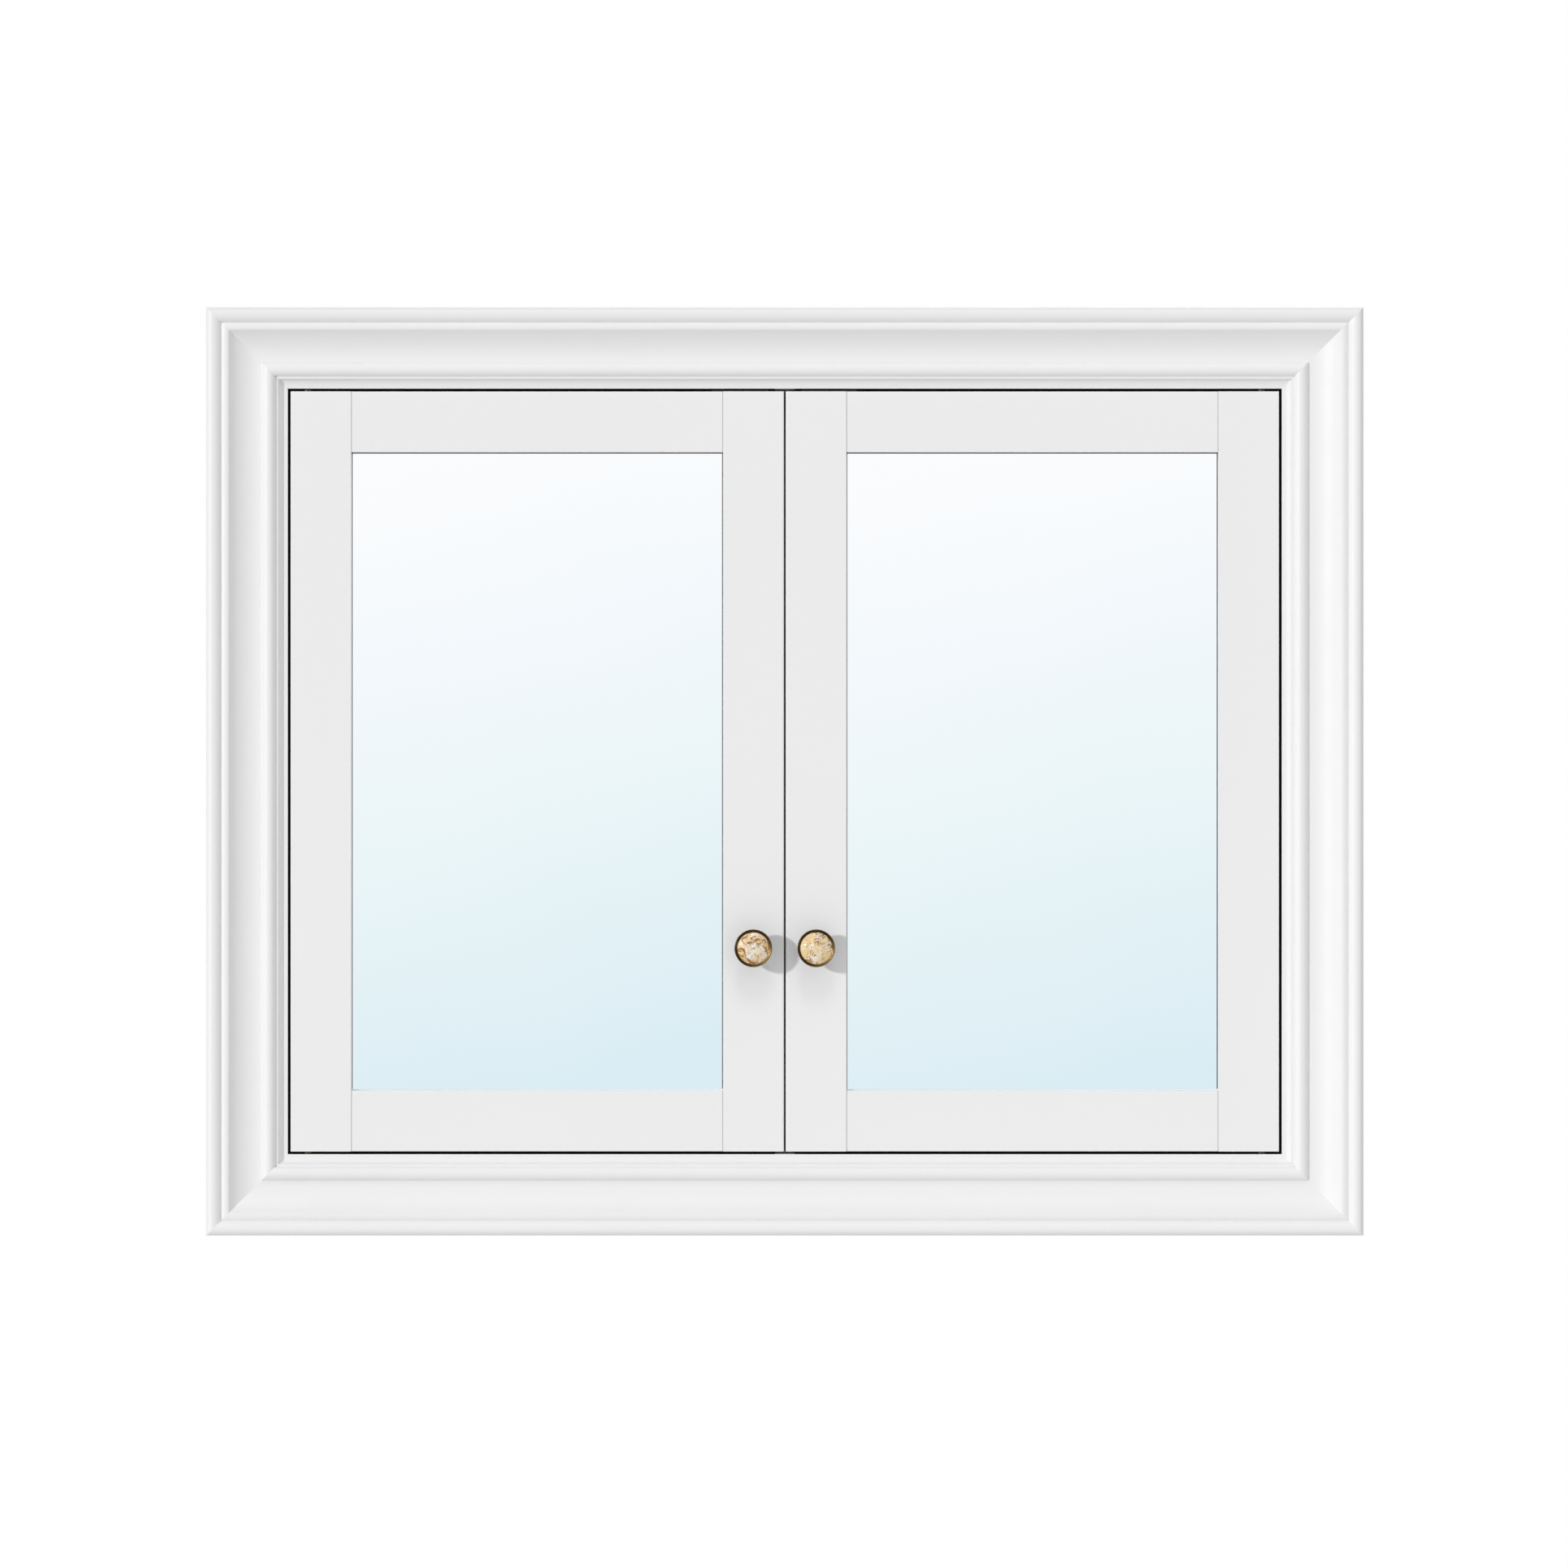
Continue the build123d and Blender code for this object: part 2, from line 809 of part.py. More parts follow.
def knob_body():
    """The cast knob: a foot, a waisted neck, a flared cup and a rolled rim, drilled for its screw."""
    rim_front = knob_projection - insert_crown
    rim_back = rim_front - knob_rim_height
    seat = rim_front - insert_seat_depth
    seat_radius = knob_radius - knob_rim_width
    rim_round = knob_rim_width / 2
    waist = knob_base_height + (rim_back - knob_base_height) * 0.35
    outline = [
        Polyline(
            (knob_screw_radius, -knob_screw_in_knob, 0),
            (knob_screw_radius, 0, 0),
            (knob_base_radius, 0, 0),
            (knob_base_radius, -knob_base_height, 0),
        ),
        Spline(
            (knob_base_radius, -knob_base_height, 0),
            (knob_neck_radius, -waist, 0),
            (knob_radius, -rim_back, 0),
            tangents=[(-1, -0.6, 0), (1, -0.25, 0)],
        ),
        Line((knob_radius, -rim_back, 0), (knob_radius, -rim_front + rim_round, 0)),
        ThreePointArc(
            (knob_radius, -rim_front + rim_round, 0),
            (knob_radius - rim_round, -rim_front, 0),
            (seat_radius, -rim_front + rim_round, 0),
        ),
        Polyline(
            (seat_radius, -rim_front + rim_round, 0),
            (seat_radius, -seat, 0),
            (0, -seat, 0),
            (0, -knob_screw_in_knob, 0),
            (knob_screw_radius, -knob_screw_in_knob, 0),
        ),
    ]
    return turned(outline)


def knob_insert():
    """The domed ceramic disc seated inside the rim."""
    rim_front = knob_projection - insert_crown
    seat = rim_front - insert_seat_depth
    radius = knob_radius - knob_rim_width - insert_clearance
    side = rim_front - knob_rim_width / 2
    crown_radius = radius_for(radius, knob_projection - side)
    outline = [
        Polyline((0, -knob_projection, 0), (0, -seat, 0), (radius, -seat, 0), (radius, -side, 0)),
        arc_about(
            (radius, -side, 0),
            (0, -knob_projection, 0),
            (0, -knob_projection + crown_radius, 0),
        ),
    ]
    return turned(outline)


def knob_screw():
    """The machine screw from the door's back into the knob."""
    head = rod((knob_x, door_back, knob_z), (0, 1, 0), knob_screw_head_radius, knob_screw_head_height)
    head = fillet(head.edges().group_by(Axis.Y)[-1], knob_screw_head_round)
    radius = knob_screw_radius - running_clearance
    length = door_thickness + knob_screw_in_knob - knob_screw_spare
    shank = rod((knob_x, door_back, knob_z), (0, -1, 0), radius, length)
    return head + shank


def fixed_pieces():
    """Every piece of the frame and box, by node name."""
    keys = mitre_keys(running_clearance)
    pegs = moulding_dowels(dowel_clearance)
    top = Pos(0, 0, frame_height / 2) * moulding_length(frame_width)
    side = moulding_length(frame_height)
    left = Pos(-frame_width / 2, 0, 0) * Rot(0, -90, 0) * side
    right = mirrored(left)
    bottom = mirror(top, about=Plane.XY)
    leaf_tools = []
    for rise in (-1, 1):
        pocket = leaf_at(rise, half_rise, half_rise + leaf_thickness)
        leaf_tools += [pocket, mirrored(pocket)]
    hinge_screws = fixed_hinge_screws(screw_clearance)
    hinge_screws += [mirrored(tool) for tool in hinge_screws]

    pieces = {
        "moulding_top": cut_all(top, keys + pegs + leaf_tools + hinge_screws),
        "moulding_bottom": cut_all(bottom, keys + pegs + leaf_tools + hinge_screws),
        "moulding_left": cut_all(left, keys + pegs),
        "moulding_right": cut_all(right, keys + pegs),
        "mitre_keys": group(mitre_keys()),
    }

    dowel_holes = carcass_dowels(dowel_clearance) + pegs
    back_holes = back_panel_screws(screw_clearance)
    back_board = block(
        (-half_opening - back_rebate + back_clearance, half_opening + back_rebate - back_clearance),
        (back_front, box_depth),
        (-half_rise - back_rebate + back_clearance, half_rise + back_rebate - back_clearance),
    )
    back_recess = block(
        (-half_opening - back_rebate, half_opening + back_rebate),
        (back_front, box_depth),
        (-half_rise - back_rebate, half_rise + back_rebate),
    )
    side_panel = block(
        (-box_half_width, -half_opening), (0, box_depth), (-box_half_height, box_half_height)
    )
    side_tools = [back_recess] + dowel_holes + back_holes
    left_panel = cut_all(side_panel, side_tools + pin_holes(-half_opening, -1) + wall_holes(-1))
    level_panel = block((-half_opening, half_opening), (0, box_depth), (half_rise, box_half_height))
    catch_tools = catch_screws(screw_clearance)
    catch_tools += [mirrored(tool) for tool in catch_tools]
    level_tools = [back_recess] + dowel_holes + back_holes
    divider = block(
        (-divider_thickness / 2, divider_thickness / 2),
        (divider_front, back_front),
        (-half_rise, half_rise),
    )
    divider_tools = dowel_holes + back_holes
    divider_tools += pin_holes(-divider_thickness / 2, 1) + pin_holes(divider_thickness / 2, -1)
    pieces.update(
        {
            "side_panel_left": left_panel,
            "side_panel_right": mirrored(left_panel),
            "top_panel": cut_all(level_panel, level_tools + catch_tools),
            "bottom_panel": cut_all(mirror(level_panel, about=Plane.XY), level_tools),
            "divider_panel": cut_all(divider, divider_tools),
            "back_panel": cut_all(back_board, back_holes),
            "back_panel_screws": group(back_panel_screws()),
            "dowels": group(carcass_dowels() + moulding_dowels()),
        }
    )

    pins = []
    for height, name in zip(shelf_holes, ("lower", "upper")):
        shelf = left_shelf(height)
        pieces[f"shelf_left_{name}"] = shelf
        pieces[f"shelf_right_{name}"] = mirrored(shelf)
        for row in pin_rows:
            pins.append(shelf_pin(-half_opening, 1, row, height))
            pins.append(shelf_pin(-divider_thickness / 2, -1, row, height))
    pieces["shelf_pins"] = group(pins + [mirrored(pin) for pin in pins])

    for rise, name in ((1, "upper"), (-1, "lower")):
        leaf = fixed_leaf(rise)
        pieces[f"left_{name}_pivot_leaf"] = leaf
        pieces[f"right_{name}_pivot_leaf"] = mirrored(leaf)
    washers = [hinge_washer(rise) for rise in (-1, 1)]
    pieces["hinge_washers"] = group(washers + [mirrored(washer) for washer in washers])
    catch = build_catch()
    pieces["left_catch"] = catch
    pieces["right_catch"] = mirrored(catch)
    magnet = catch_magnet()
    pieces["catch_magnets"] = group([magnet, mirrored(magnet)])
    screws = fixed_hinge_screws() + catch_screws()
    pieces["fixed_screws"] = group(screws + [mirrored(each) for each in screws])
    return pieces


def left_door_pieces():
    """Every piece of the left door, by node name without its side."""
    pilot_radius = screw_shank_radius + screw_clearance
    clip_cuts = on_clip_places(
        rod((0, 0, 0), (0, -1, 0), pilot_radius, clip_screw_length + clip_pilot_spare)
    )
    strike_cuts = strike_screws(screw_clearance)
    return {
        "hinge_stile": cut_all(left_stile(True), clip_cuts),
        "meeting_stile": cut_all(left_stile(False), clip_cuts + strike_cuts),
        "top_rail": cut_all(left_rail(1), clip_cuts + strike_cuts),
        "bottom_rail": cut_all(left_rail(-1), clip_cuts),
        "mirror": left_mirror(),
        "mirror_backing": left_backing(),
        "mirror_clips": group(on_clip_places(mirror_clip())),
        "clip_screws": group(on_clip_places(clip_screw())),
        "upper_door_leaf": door_leaf(1),
        "lower_door_leaf": door_leaf(-1),
        "door_screws": group(door_hinge_screws() + strike_screws()),
        "strike_plate": build_strike(),
        "bumpers": group([build_bumper(-1), build_bumper(1)]),
        "knob_body": knob_body(),
        "knob_insert": knob_insert(),
        "knob_screw": knob_screw(),
    }


def main():
    """Build every piece and write one STEP file for each node."""
    os.makedirs("parts", exist_ok=True)
    pieces = fixed_pieces()
    for name, piece in left_door_pieces().items():
        pieces[f"left_{name}"] = piece
        pieces[f"right_{name}"] = group([mirrored(piece)])
    for name, piece in pieces.items():
        export_step(piece, os.path.join("parts", f"{name}.step"))


main()
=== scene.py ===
"""Finishes, fine meshes, light and camera for a recessed two-door medicine cabinet.

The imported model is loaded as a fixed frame.  Its nodes keep their places and get a
finish each; the mouldings, mirrors, knobs and screws are replaced by finer meshes that
are worked out here from the same sizes.  Every length is in metres: +X to the viewer's
right, +Y into the wall, +Z up, with the origin in the middle of the door opening.
"""
import logging
import math
from dataclasses import dataclass, field
from enum import Enum
from functools import cached_property
from typing import Iterable, Sequence

import bpy
import numpy as np
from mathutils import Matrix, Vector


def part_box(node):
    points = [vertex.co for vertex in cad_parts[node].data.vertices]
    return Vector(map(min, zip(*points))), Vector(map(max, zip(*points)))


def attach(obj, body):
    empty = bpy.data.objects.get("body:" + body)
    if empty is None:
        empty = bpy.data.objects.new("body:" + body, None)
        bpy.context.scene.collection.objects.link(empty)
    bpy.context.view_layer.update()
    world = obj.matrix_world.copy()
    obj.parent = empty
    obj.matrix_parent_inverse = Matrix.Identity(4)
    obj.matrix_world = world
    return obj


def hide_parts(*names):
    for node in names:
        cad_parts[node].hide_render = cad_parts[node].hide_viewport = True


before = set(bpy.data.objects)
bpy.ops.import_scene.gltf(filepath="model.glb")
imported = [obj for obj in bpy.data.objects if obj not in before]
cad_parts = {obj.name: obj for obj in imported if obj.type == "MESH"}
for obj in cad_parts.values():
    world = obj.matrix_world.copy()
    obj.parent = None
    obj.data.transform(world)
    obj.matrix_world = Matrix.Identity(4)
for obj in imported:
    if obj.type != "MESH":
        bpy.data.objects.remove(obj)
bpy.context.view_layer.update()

LOG = logging.getLogger("cabinet")
MM = 0.001
Colour = tuple[float, float, float]
Point = tuple[float, float, float]
Faces = list[Sequence[int]]
Material = bpy.types.Material
Piece = bpy.types.Object
Socket = bpy.types.NodeSocket
WHITE: Colour = (1.0, 1.0, 1.0)
# Near black: painted shade for the depths of narrow gaps.
PAINTED_GAP_SHADE: Colour = (0.006, 0.006, 0.0065)
GAP_REACH = 8.0 * MM


class Side(Enum):
    """Which door, and the sign of its X."""

    LEFT = -1
    RIGHT = 1

    @property
    def word(self) -> str:
        """The side's name, as the nodes and bodies use it."""
        return self.name.lower()

    @property
    def door(self) -> str:
        """Name of the moving body on this side."""
        return f"{self.word}_door"


# Meshes


def grid_faces(rows: int, cols: int, wrap_rows: bool = False, wrap_cols: bool = False) -> np.ndarray:
    """Quads of a grid whose vertex (r, c) has the index r * cols + c.

    Args:
        rows: number of rows of vertices.
        cols: number of vertices in each row.
        wrap_rows: joins the last row to the first.
        wrap_cols: joins the end of each row to its start.

    Returns:
        An array of four vertex indices for each quad.
    """
    row = np.arange(rows if wrap_rows else rows - 1)
    col = np.arange(cols if wrap_cols else cols - 1)
    r, c = (part.ravel() for part in np.meshgrid(row, col, indexing="ij"))
    next_r, next_c = (r + 1) % rows, (c + 1) % cols
    corners = (r * cols + c, r * cols + next_c, next_r * cols + next_c, next_r * cols + c)
    return np.stack(corners, axis=1)


def tube_faces(rows: int, cols: int) -> Faces:
    """Quads of a grid that is closed round its columns, with a face over each open end."""
    end = np.arange(cols)
    return [*grid_faces(rows, cols, wrap_cols=True), end[::-1], end + (rows - 1) * cols]


def arc(start: Sequence[float], end: Sequence[float], centre: Sequence[float], count: int) -> np.ndarray:
    """Points on the shorter arc about a centre: centre + radius * (cos a, sin a)."""
    a, b, c = (np.asarray(p, float) for p in (start, end, centre))
    first = math.atan2(*(a - c)[::-1])
    turn = math.atan2(*(b - c)[::-1]) - first
    turn = (turn + math.pi) % (2 * math.pi) - math.pi
    angle = first + turn * np.linspace(0, 1, count)
    return c + np.linalg.norm(a - c) * np.stack((np.cos(angle), np.sin(angle)), axis=1)


def radius_for(run: float, drop: float) -> float:
    """Radius of an arc that starts level and falls by drop over run."""
    return (run**2 + drop**2) / (2 * drop)


def smooth(mesh: bpy.types.Mesh, sharp_degrees: float) -> None:
    """Shades a mesh smooth, except where an edge turns by more than an angle."""
    mesh.polygons.foreach_set("use_smooth", np.ones(len(mesh.polygons), bool))
    mesh.set_sharp_from_angle(angle=math.radians(sharp_degrees))


def make_piece(name: str, points: np.ndarray, faces: Iterable[Sequence[int]],
               sharp_degrees: float = 32.0) -> Piece:
    """A smooth-shaded mesh object at the origin, with its faces pointing outwards.

    The sum of a . (b x c) over the triangles is six times the volume, and it is negative
    on a closed mesh that is inside out, which is then turned round.

    Args:
        name: the piece's name.
        points: vertices, one to a row.
        faces: vertex indices of each face.
        sharp_degrees: edges that turn by more than this stay sharp.

    Returns:
        The new object, linked to the scene.
    """
    mesh = bpy.data.meshes.new(name)
    mesh.from_pydata(np.asarray(points, float).tolist(), [], [list(map(int, f)) for f in faces])
    mesh.update()
    mesh.calc_loop_triangles()
    triangles = np.empty(len(mesh.loop_triangles) * 3, np.int64)
    mesh.loop_triangles.foreach_get("vertices", triangles)
    a, b, c = np.asarray(points, float)[triangles.reshape(-1, 3)].transpose(1, 0, 2)
    if np.einsum("ij,ij->i", a, np.cross(b, c)).sum() < 0:
        mesh.flip_normals()
    smooth(mesh, sharp_degrees)
    piece = bpy.data.objects.new(name, mesh)
    bpy.context.scene.collection.objects.link(piece)
    return piece


def turned_mesh(profile: np.ndarray, count: int) -> tuple[np.ndarray, Faces]:
    """A turned solid about the Z axis: (r cos a, r sin a, z) for each profile point (r, z).

    Args:
        profile: (radius, height) points; the first and last lie on the axis.
        count: steps round the axis.

    Returns:
        The points and the faces, closed at both poles.
    """
    angle = np.arange(count) * (2 * math.pi / count)
    rings = profile[1:-1]
    spread = np.broadcast_arrays(rings[:, :1] * np.cos(angle), rings[:, :1] * np.sin(angle), rings[:, 1:])
    points = np.stack(spread, axis=-1).reshape(-1, 3)
    first, last = len(points), len(points) + 1
    poles = np.array([(0, 0, profile[0, 1]), (0, 0, profile[-1, 1])])
    faces: Faces = list(grid_faces(len(rings), count, wrap_cols=True))
    near = np.arange(count)
    far = near + (len(rings) - 1) * count
    faces += list(np.stack((np.full(count, first), np.roll(near, -1), near), axis=1))
    faces += list(np.stack((np.full(count, last), far, np.roll(far, -1)), axis=1))
    return np.concatenate((points, poles)), faces


def prism(loop: np.ndarray, axis: int, start: float, end: float) -> tuple[np.ndarray, Faces]:
    """Points and faces of a flat loop repeated at two places along an axis, both ends closed."""
    points = np.concatenate([np.insert(loop, axis, place, axis=1) for place in (start, end)])
    return points, tube_faces(2, len(loop))


def rectangle_rings(low: Point, high: Point, insets: np.ndarray, depths: np.ndarray) -> np.ndarray:
    """Corners of an upright rectangle drawn in by each inset, at each depth along Y.

    Args:
        low: lowest corner of the rectangle, of which X and Z are used.
        high: highest corner.
        insets: how far each ring is drawn in on every side.
        depths: the Y of each ring.

    Returns:
        Points, four to a ring.
    """
    corners = np.array([(low[0], low[2]), (high[0], low[2]), (high[0], high[2]), (low[0], high[2])])
    signs = np.sign(corners - corners.mean(0))
    rings = corners[None] - insets[:, None, None] * signs[None]
    depth = np.broadcast_to(depths[:, None, None], (*rings.shape[:2], 1))
    return np.concatenate((rings[..., :1], depth, rings[..., 1:]), axis=-1).reshape(-1, 3)


def islands(node: str) -> list[np.ndarray]:
    """The vertices of each separate solid of a node.

    Vertices at one place are merged, then each edge passes on the lower of its two
    labels until no label changes, so every solid ends with one label of its own.

    Args:
        node: name of the node.

    Returns:
        One array of points for each solid.
    """
    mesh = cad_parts[node].data
    points = np.empty(len(mesh.vertices) * 3)
    mesh.vertices.foreach_get("co", points)
    points = points.reshape(-1, 3)
    edges = np.empty(len(mesh.edges) * 2, np.int64)
    mesh.edges.foreach_get("vertices", edges)
    places, merged = np.unique(np.round(points, 6), axis=0, return_inverse=True)
    ends = merged.ravel()[edges.reshape(-1, 2)]
    labels = np.arange(len(places))
    while True:
        lower = labels.copy()
        np.minimum.at(lower, ends[:, 0], labels[ends[:, 1]])
        np.minimum.at(lower, ends[:, 1], labels[ends[:, 0]])
        if (lower == labels).all():
            break
        labels = lower
    return [places[labels == label] for label in np.unique(labels)]


# Finishes


class Graph:
    """The nodes of a material or a world, with short ways to add them and to wire them."""

    NOISE_SPREAD = (0.3, 0.7)

    def __init__(self, holder: Material | bpy.types.World) -> None:
        """Turns on the holder's nodes; a material starts with its standard shader."""
        holder.use_nodes = True
        self.tree = holder.node_tree
        self.shader = self.tree.nodes.get("Principled BSDF")

    @cached_property
    def place(self) -> Socket:
        """Object coordinates."""
        return self.add("ShaderNodeTexCoord").outputs["Object"]

    def add(self, kind: str, inputs: dict[str | int, object] | None = None,
            **settings: object) -> bpy.types.Node:
        """Adds a node with its settings, and feeds its sockets by name or by number."""
        node = self.tree.nodes.new(kind)
        for key, value in settings.items():
            setattr(node, key, value)
        for key, value in (inputs or {}).items():
            self.feed(node.inputs[key], value)
        return node

    def feed(self, socket: Socket, value: object) -> None:
        """Links an output to a socket, or sets the socket's own value."""
        if isinstance(value, Socket):
            self.tree.links.new(value, socket)
        elif socket.type == "RGBA":
            socket.default_value = (*value, 1.0)
        else:
            socket.default_value = value

    def set(self, **values: object) -> None:
        """Sets or wires inputs of the standard shader, named in lower case."""
        for key, value in values.items():
            name = key.replace("_", " ").title().replace("Ior", "IOR")
            self.feed(self.shader.inputs[name], value)

    def noise(self, scale: float, detail: float = 3.0, roughness: float = 0.5,
              vector: Socket | None = None, distortion: float = 0.0) -> Socket:
        """A noise value from 0 to 1, with features of about one over scale metres."""
        return self.add("ShaderNodeTexNoise", {
            "Vector": vector or self.place,
            "Scale": scale,
            "Detail": detail,
            "Roughness": roughness,
            "Distortion": distortion,
        }).outputs[0]

    def mottle(self, scale: float, low: float, high: float, detail: float = 3.0) -> Socket:
        """A noise whose common values are spread over a range."""
        return self.span(self.noise(scale, detail), *self.NOISE_SPREAD, low, high)

    def ramp(self, value: Socket, stops: Sequence[tuple[float, Colour]]) -> Socket:
        """Colours blended along a value, from (position, colour) stops."""
        node = self.add("ShaderNodeValToRGB", {0: value})
        elements = node.color_ramp.elements
        while len(elements) < len(stops):
            elements.new(0.5)
        for element, (position, colour) in zip(elements, stops):
            element.position = position
            element.color = (*colour, 1.0)
        return node.outputs[0]

    def math(self, operation: str, a: object, b: object = 0.0, clamp: bool = False) -> Socket:
        """The result of a sum on one or two values."""
        return self.add("ShaderNodeMath", {0: a, 1: b}, operation=operation, use_clamp=clamp).outputs[0]

    def span(self, value: Socket, low: float, high: float, to_low: float, to_high: float) -> Socket:
        """A value carried from one range to another, held at the ends."""
        numbers = dict(enumerate((value, low, high, to_low, to_high)))
        return self.add("ShaderNodeMapRange", numbers).outputs[0]

    def blend(self, factor: object, a: object, b: object) -> Socket:
        """Two colours mixed by a factor."""
        return self.add("ShaderNodeMix", {0: factor, 6: a, 7: b}, data_type="RGBA").outputs[2]

    def apart(self, value: Socket, place: float) -> Socket:
        """How far a value is from a place, on either side."""
        return self.math("ABSOLUTE", self.math("SUBTRACT", value, place))

    def axis(self, vector: Socket, index: int) -> Socket:
        """One coordinate of a vector."""
        return self.add("ShaderNodeSeparateXYZ", {0: vector}).outputs[index]

    def primed(self, tone: Socket, open_light: tuple[float, float], where: Socket) -> Socket:
        """A tone that turns to near-black painted shade deep in a narrow gap, where a mask allows it.

        Args:
            tone: the colour in the open.
            open_light: the shares of occlusion light at which the painted shade starts to fade, and is gone.
            where: 1 where painted shade may show and 0 elsewhere.

        Returns:
            The blended colour.
        """
        # Painted shade: an occlusion node darkens the tone where a gap is deep.
        light = self.add("ShaderNodeAmbientOcclusion", {"Distance": GAP_REACH}).outputs["AO"]
        in_shade = self.math("MULTIPLY", self.span(light, *open_light, 1.0, 0.0), where)
        return self.blend(in_shade, tone, PAINTED_GAP_SHADE)

    def bump(self, height: Socket, strength: float, distance: float) -> None:
        """Raises the surface by a height value, in metres of distance."""
        node = self.add("ShaderNodeBump", {"Height": height, "Strength": strength, "Distance": distance})
        self.tree.links.new(node.outputs[0], self.shader.inputs["Normal"])

    def seen_directly(self) -> Socket:
        """One for camera, glossy and transmission rays, nought for the rest."""
        rays = self.add("ShaderNodeLightPath").outputs
        seen = self.math("MAXIMUM", rays["Is Camera Ray"], rays["Is Glossy Ray"])
        return self.math("MAXIMUM", seen, rays["Is Transmission Ray"])

    def mapped(self, centre: Point = (0.0, 0.0, 0.0), scale: Point = (1.0, 1.0, 1.0)) -> Socket:
        """Object coordinates measured from a place and scaled."""
        inputs = {"Vector": self.place, "Location": tuple(-value for value in centre), "Scale": scale}
        return self.add("ShaderNodeMapping", inputs).outputs[0]


class Finish:
    """A named finish that paints its own graph."""

    name: str

    def paint(self, g: Graph) -> None:
        """Wires the finish into a graph."""
        raise NotImplementedError

    def material(self) -> Material:
        """Builds the finish as a material."""
        material = bpy.data.materials.new(self.name)
        self.paint(Graph(material))
        return material


@dataclass(frozen=True)
class SatinLacquer(Finish):
    """White satin lacquer, sprayed: a faint orange peel and a slow drift in tone.

    Deep in a gap of a few millimetres the colour turns to near-black painted shade,
    except in front of the divider.  A hairline shows in the paint of a rail beside each
    joint.
    """

    name: str = "satin_lacquer"
    joints: tuple[float, ...] = ()
    primed_gaps: bool = False
    colour: Colour = (0.835, 0.833, 0.836)
    shade: Colour = (0.815, 0.815, 0.817)
    crack: Colour = (0.4, 0.4, 0.405)
    roughness: tuple[float, float] = (0.45, 0.53)
    peel_scale: float = 420.0
    peel_strength: float = 0.06
    peel_height: float = 0.03 * MM
    gap_light: tuple[float, float] = (0.38, 0.49)
    divider_reach: tuple[float, float] = (8.1 * MM, 8.6 * MM)
    crack_edge: tuple[float, float] = (0.2 * MM, 0.275 * MM)

    def paint(self, g: Graph) -> None:
        """Lays the lacquer, paints shade deep in its gaps, then draws the hairlines."""
        tone = g.blend(g.noise(5.0, 2.0), self.colour, self.shade)
        across = g.axis(g.place, 0)
        # Painted shade in the gaps, left out across the divider's width.
        if self.primed_gaps:
            beside = g.span(g.apart(across, 0.0), *self.divider_reach, 0.0, 1.0)
            tone = g.primed(tone, self.gap_light, beside)
        for joint in self.joints:
            line = g.span(g.apart(across, joint), *self.crack_edge, 1.0, 0.0)
            tone = g.blend(line, tone, self.crack)
        g.set(base_color=tone, roughness=g.mottle(60.0, *self.roughness))
        g.bump(g.noise(self.peel_scale, 1.0), self.peel_strength, self.peel_height)


@dataclass(frozen=True)
class FacedBoard(Finish):
    """White melamine-faced board with a fine pebble grain, and painted shade near black beside a closed
    door's edge.
    """

    name: str = "faced_board"
    primed_depth: float = 0.0
    gap_light: tuple[float, float] = (0.5, 0.85)
    colour: Colour = (0.8, 0.8, 0.79)
    shade: Colour = (0.76, 0.76, 0.75)
    grain_scale: float = 900.0

    def paint(self, g: Graph) -> None:
        """Wires the board's facing, and painted shade in the gaps along its front."""
        tone = g.blend(g.noise(9.0), self.colour, self.shade)
        # Painted shade: near black deep in the gap along the front, as far in as the depth given.
        if self.primed_depth:
            front = g.span(g.axis(g.place, 1), self.primed_depth - MM, self.primed_depth, 1.0, 0.0)
            tone = g.primed(tone, self.gap_light, front)
        g.set(base_color=tone, roughness=g.mottle(200.0, 0.42, 0.55))
        g.bump(g.noise(self.grain_scale, 2.0), 0.5, 0.05 * MM)


@dataclass(frozen=True)
class Fibrous(Finish):
    """Bare board or wood: fibres of one colour over another, drawn out along one way."""

    name: str
    colour: Colour
    fibre: Colour
    stretch: Point
    detail: tuple[float, float]
    split: tuple[float, float]
    roughness: float
    relief: float

    def paint(self, g: Graph) -> None:
        """Wires the fibres, a stretched noise that is split into two colours."""
        fibres = g.noise(1.0, *self.detail, g.mapped(scale=self.stretch))
        g.set(base_color=g.blend(g.span(fibres, *self.split, 0.0, 1.0), self.colour, self.fibre))
        g.set(roughness=self.roughness)
        g.bump(fibres, self.relief, 0.1 * MM)


@dataclass(frozen=True)
class Pane:
    """An upright rectangle of glass, between its lowest and its highest corner."""

    low: Point
    high: Point

    @property
    def centre(self) -> Point:
        """Its middle."""
        return tuple((a + b) / 2 for a, b in zip(self.low, self.high))

    @property
    def half(self) -> tuple[float, float]:
        """Half its width and half its height."""
        return (self.high[0] - self.low[0]) / 2, (self.high[2] - self.low[2]) / 2


@dataclass(frozen=True)
class MirrorWithPaintedReflection(Finish):
    """Silvered glass whose colour holds a painted reflection: near white at the top to pale blue at the
    bottom.
    """

    name: str
    pane: Pane
    slant: float = 0.075
    cloud: float = 0.02
    # Painted reflection of a studio gradient, from the top of the glass to its bottom.
    stops: tuple[tuple[float, Colour], ...] = (
        (0.0, (0.965, 0.972, 0.986)),
        (0.33, (0.885, 0.935, 0.97)),
        (0.56, (0.826, 0.914, 0.932)),
        (1.0, (0.705, 0.842, 0.905)),
    )

    def paint(self, g: Graph) -> None:
        """Wires the mirror: the painted reflection runs down the glass and a little to the right."""
        half_width, half_height = self.pane.half
        place = g.mapped(self.pane.centre)
        down = g.span(g.axis(place, 2), half_height, -half_height, 0.0, 1.0)
        across = g.span(g.axis(place, 0), -half_width, half_width, -self.slant, self.slant)
        cloud = g.mottle(6.0, -self.cloud, self.cloud, 1.0)
        tone = g.math("ADD", g.math("ADD", down, across), cloud, clamp=True)
        g.set(base_color=g.ramp(tone, self.stops), metallic=1.0, roughness=0.012)


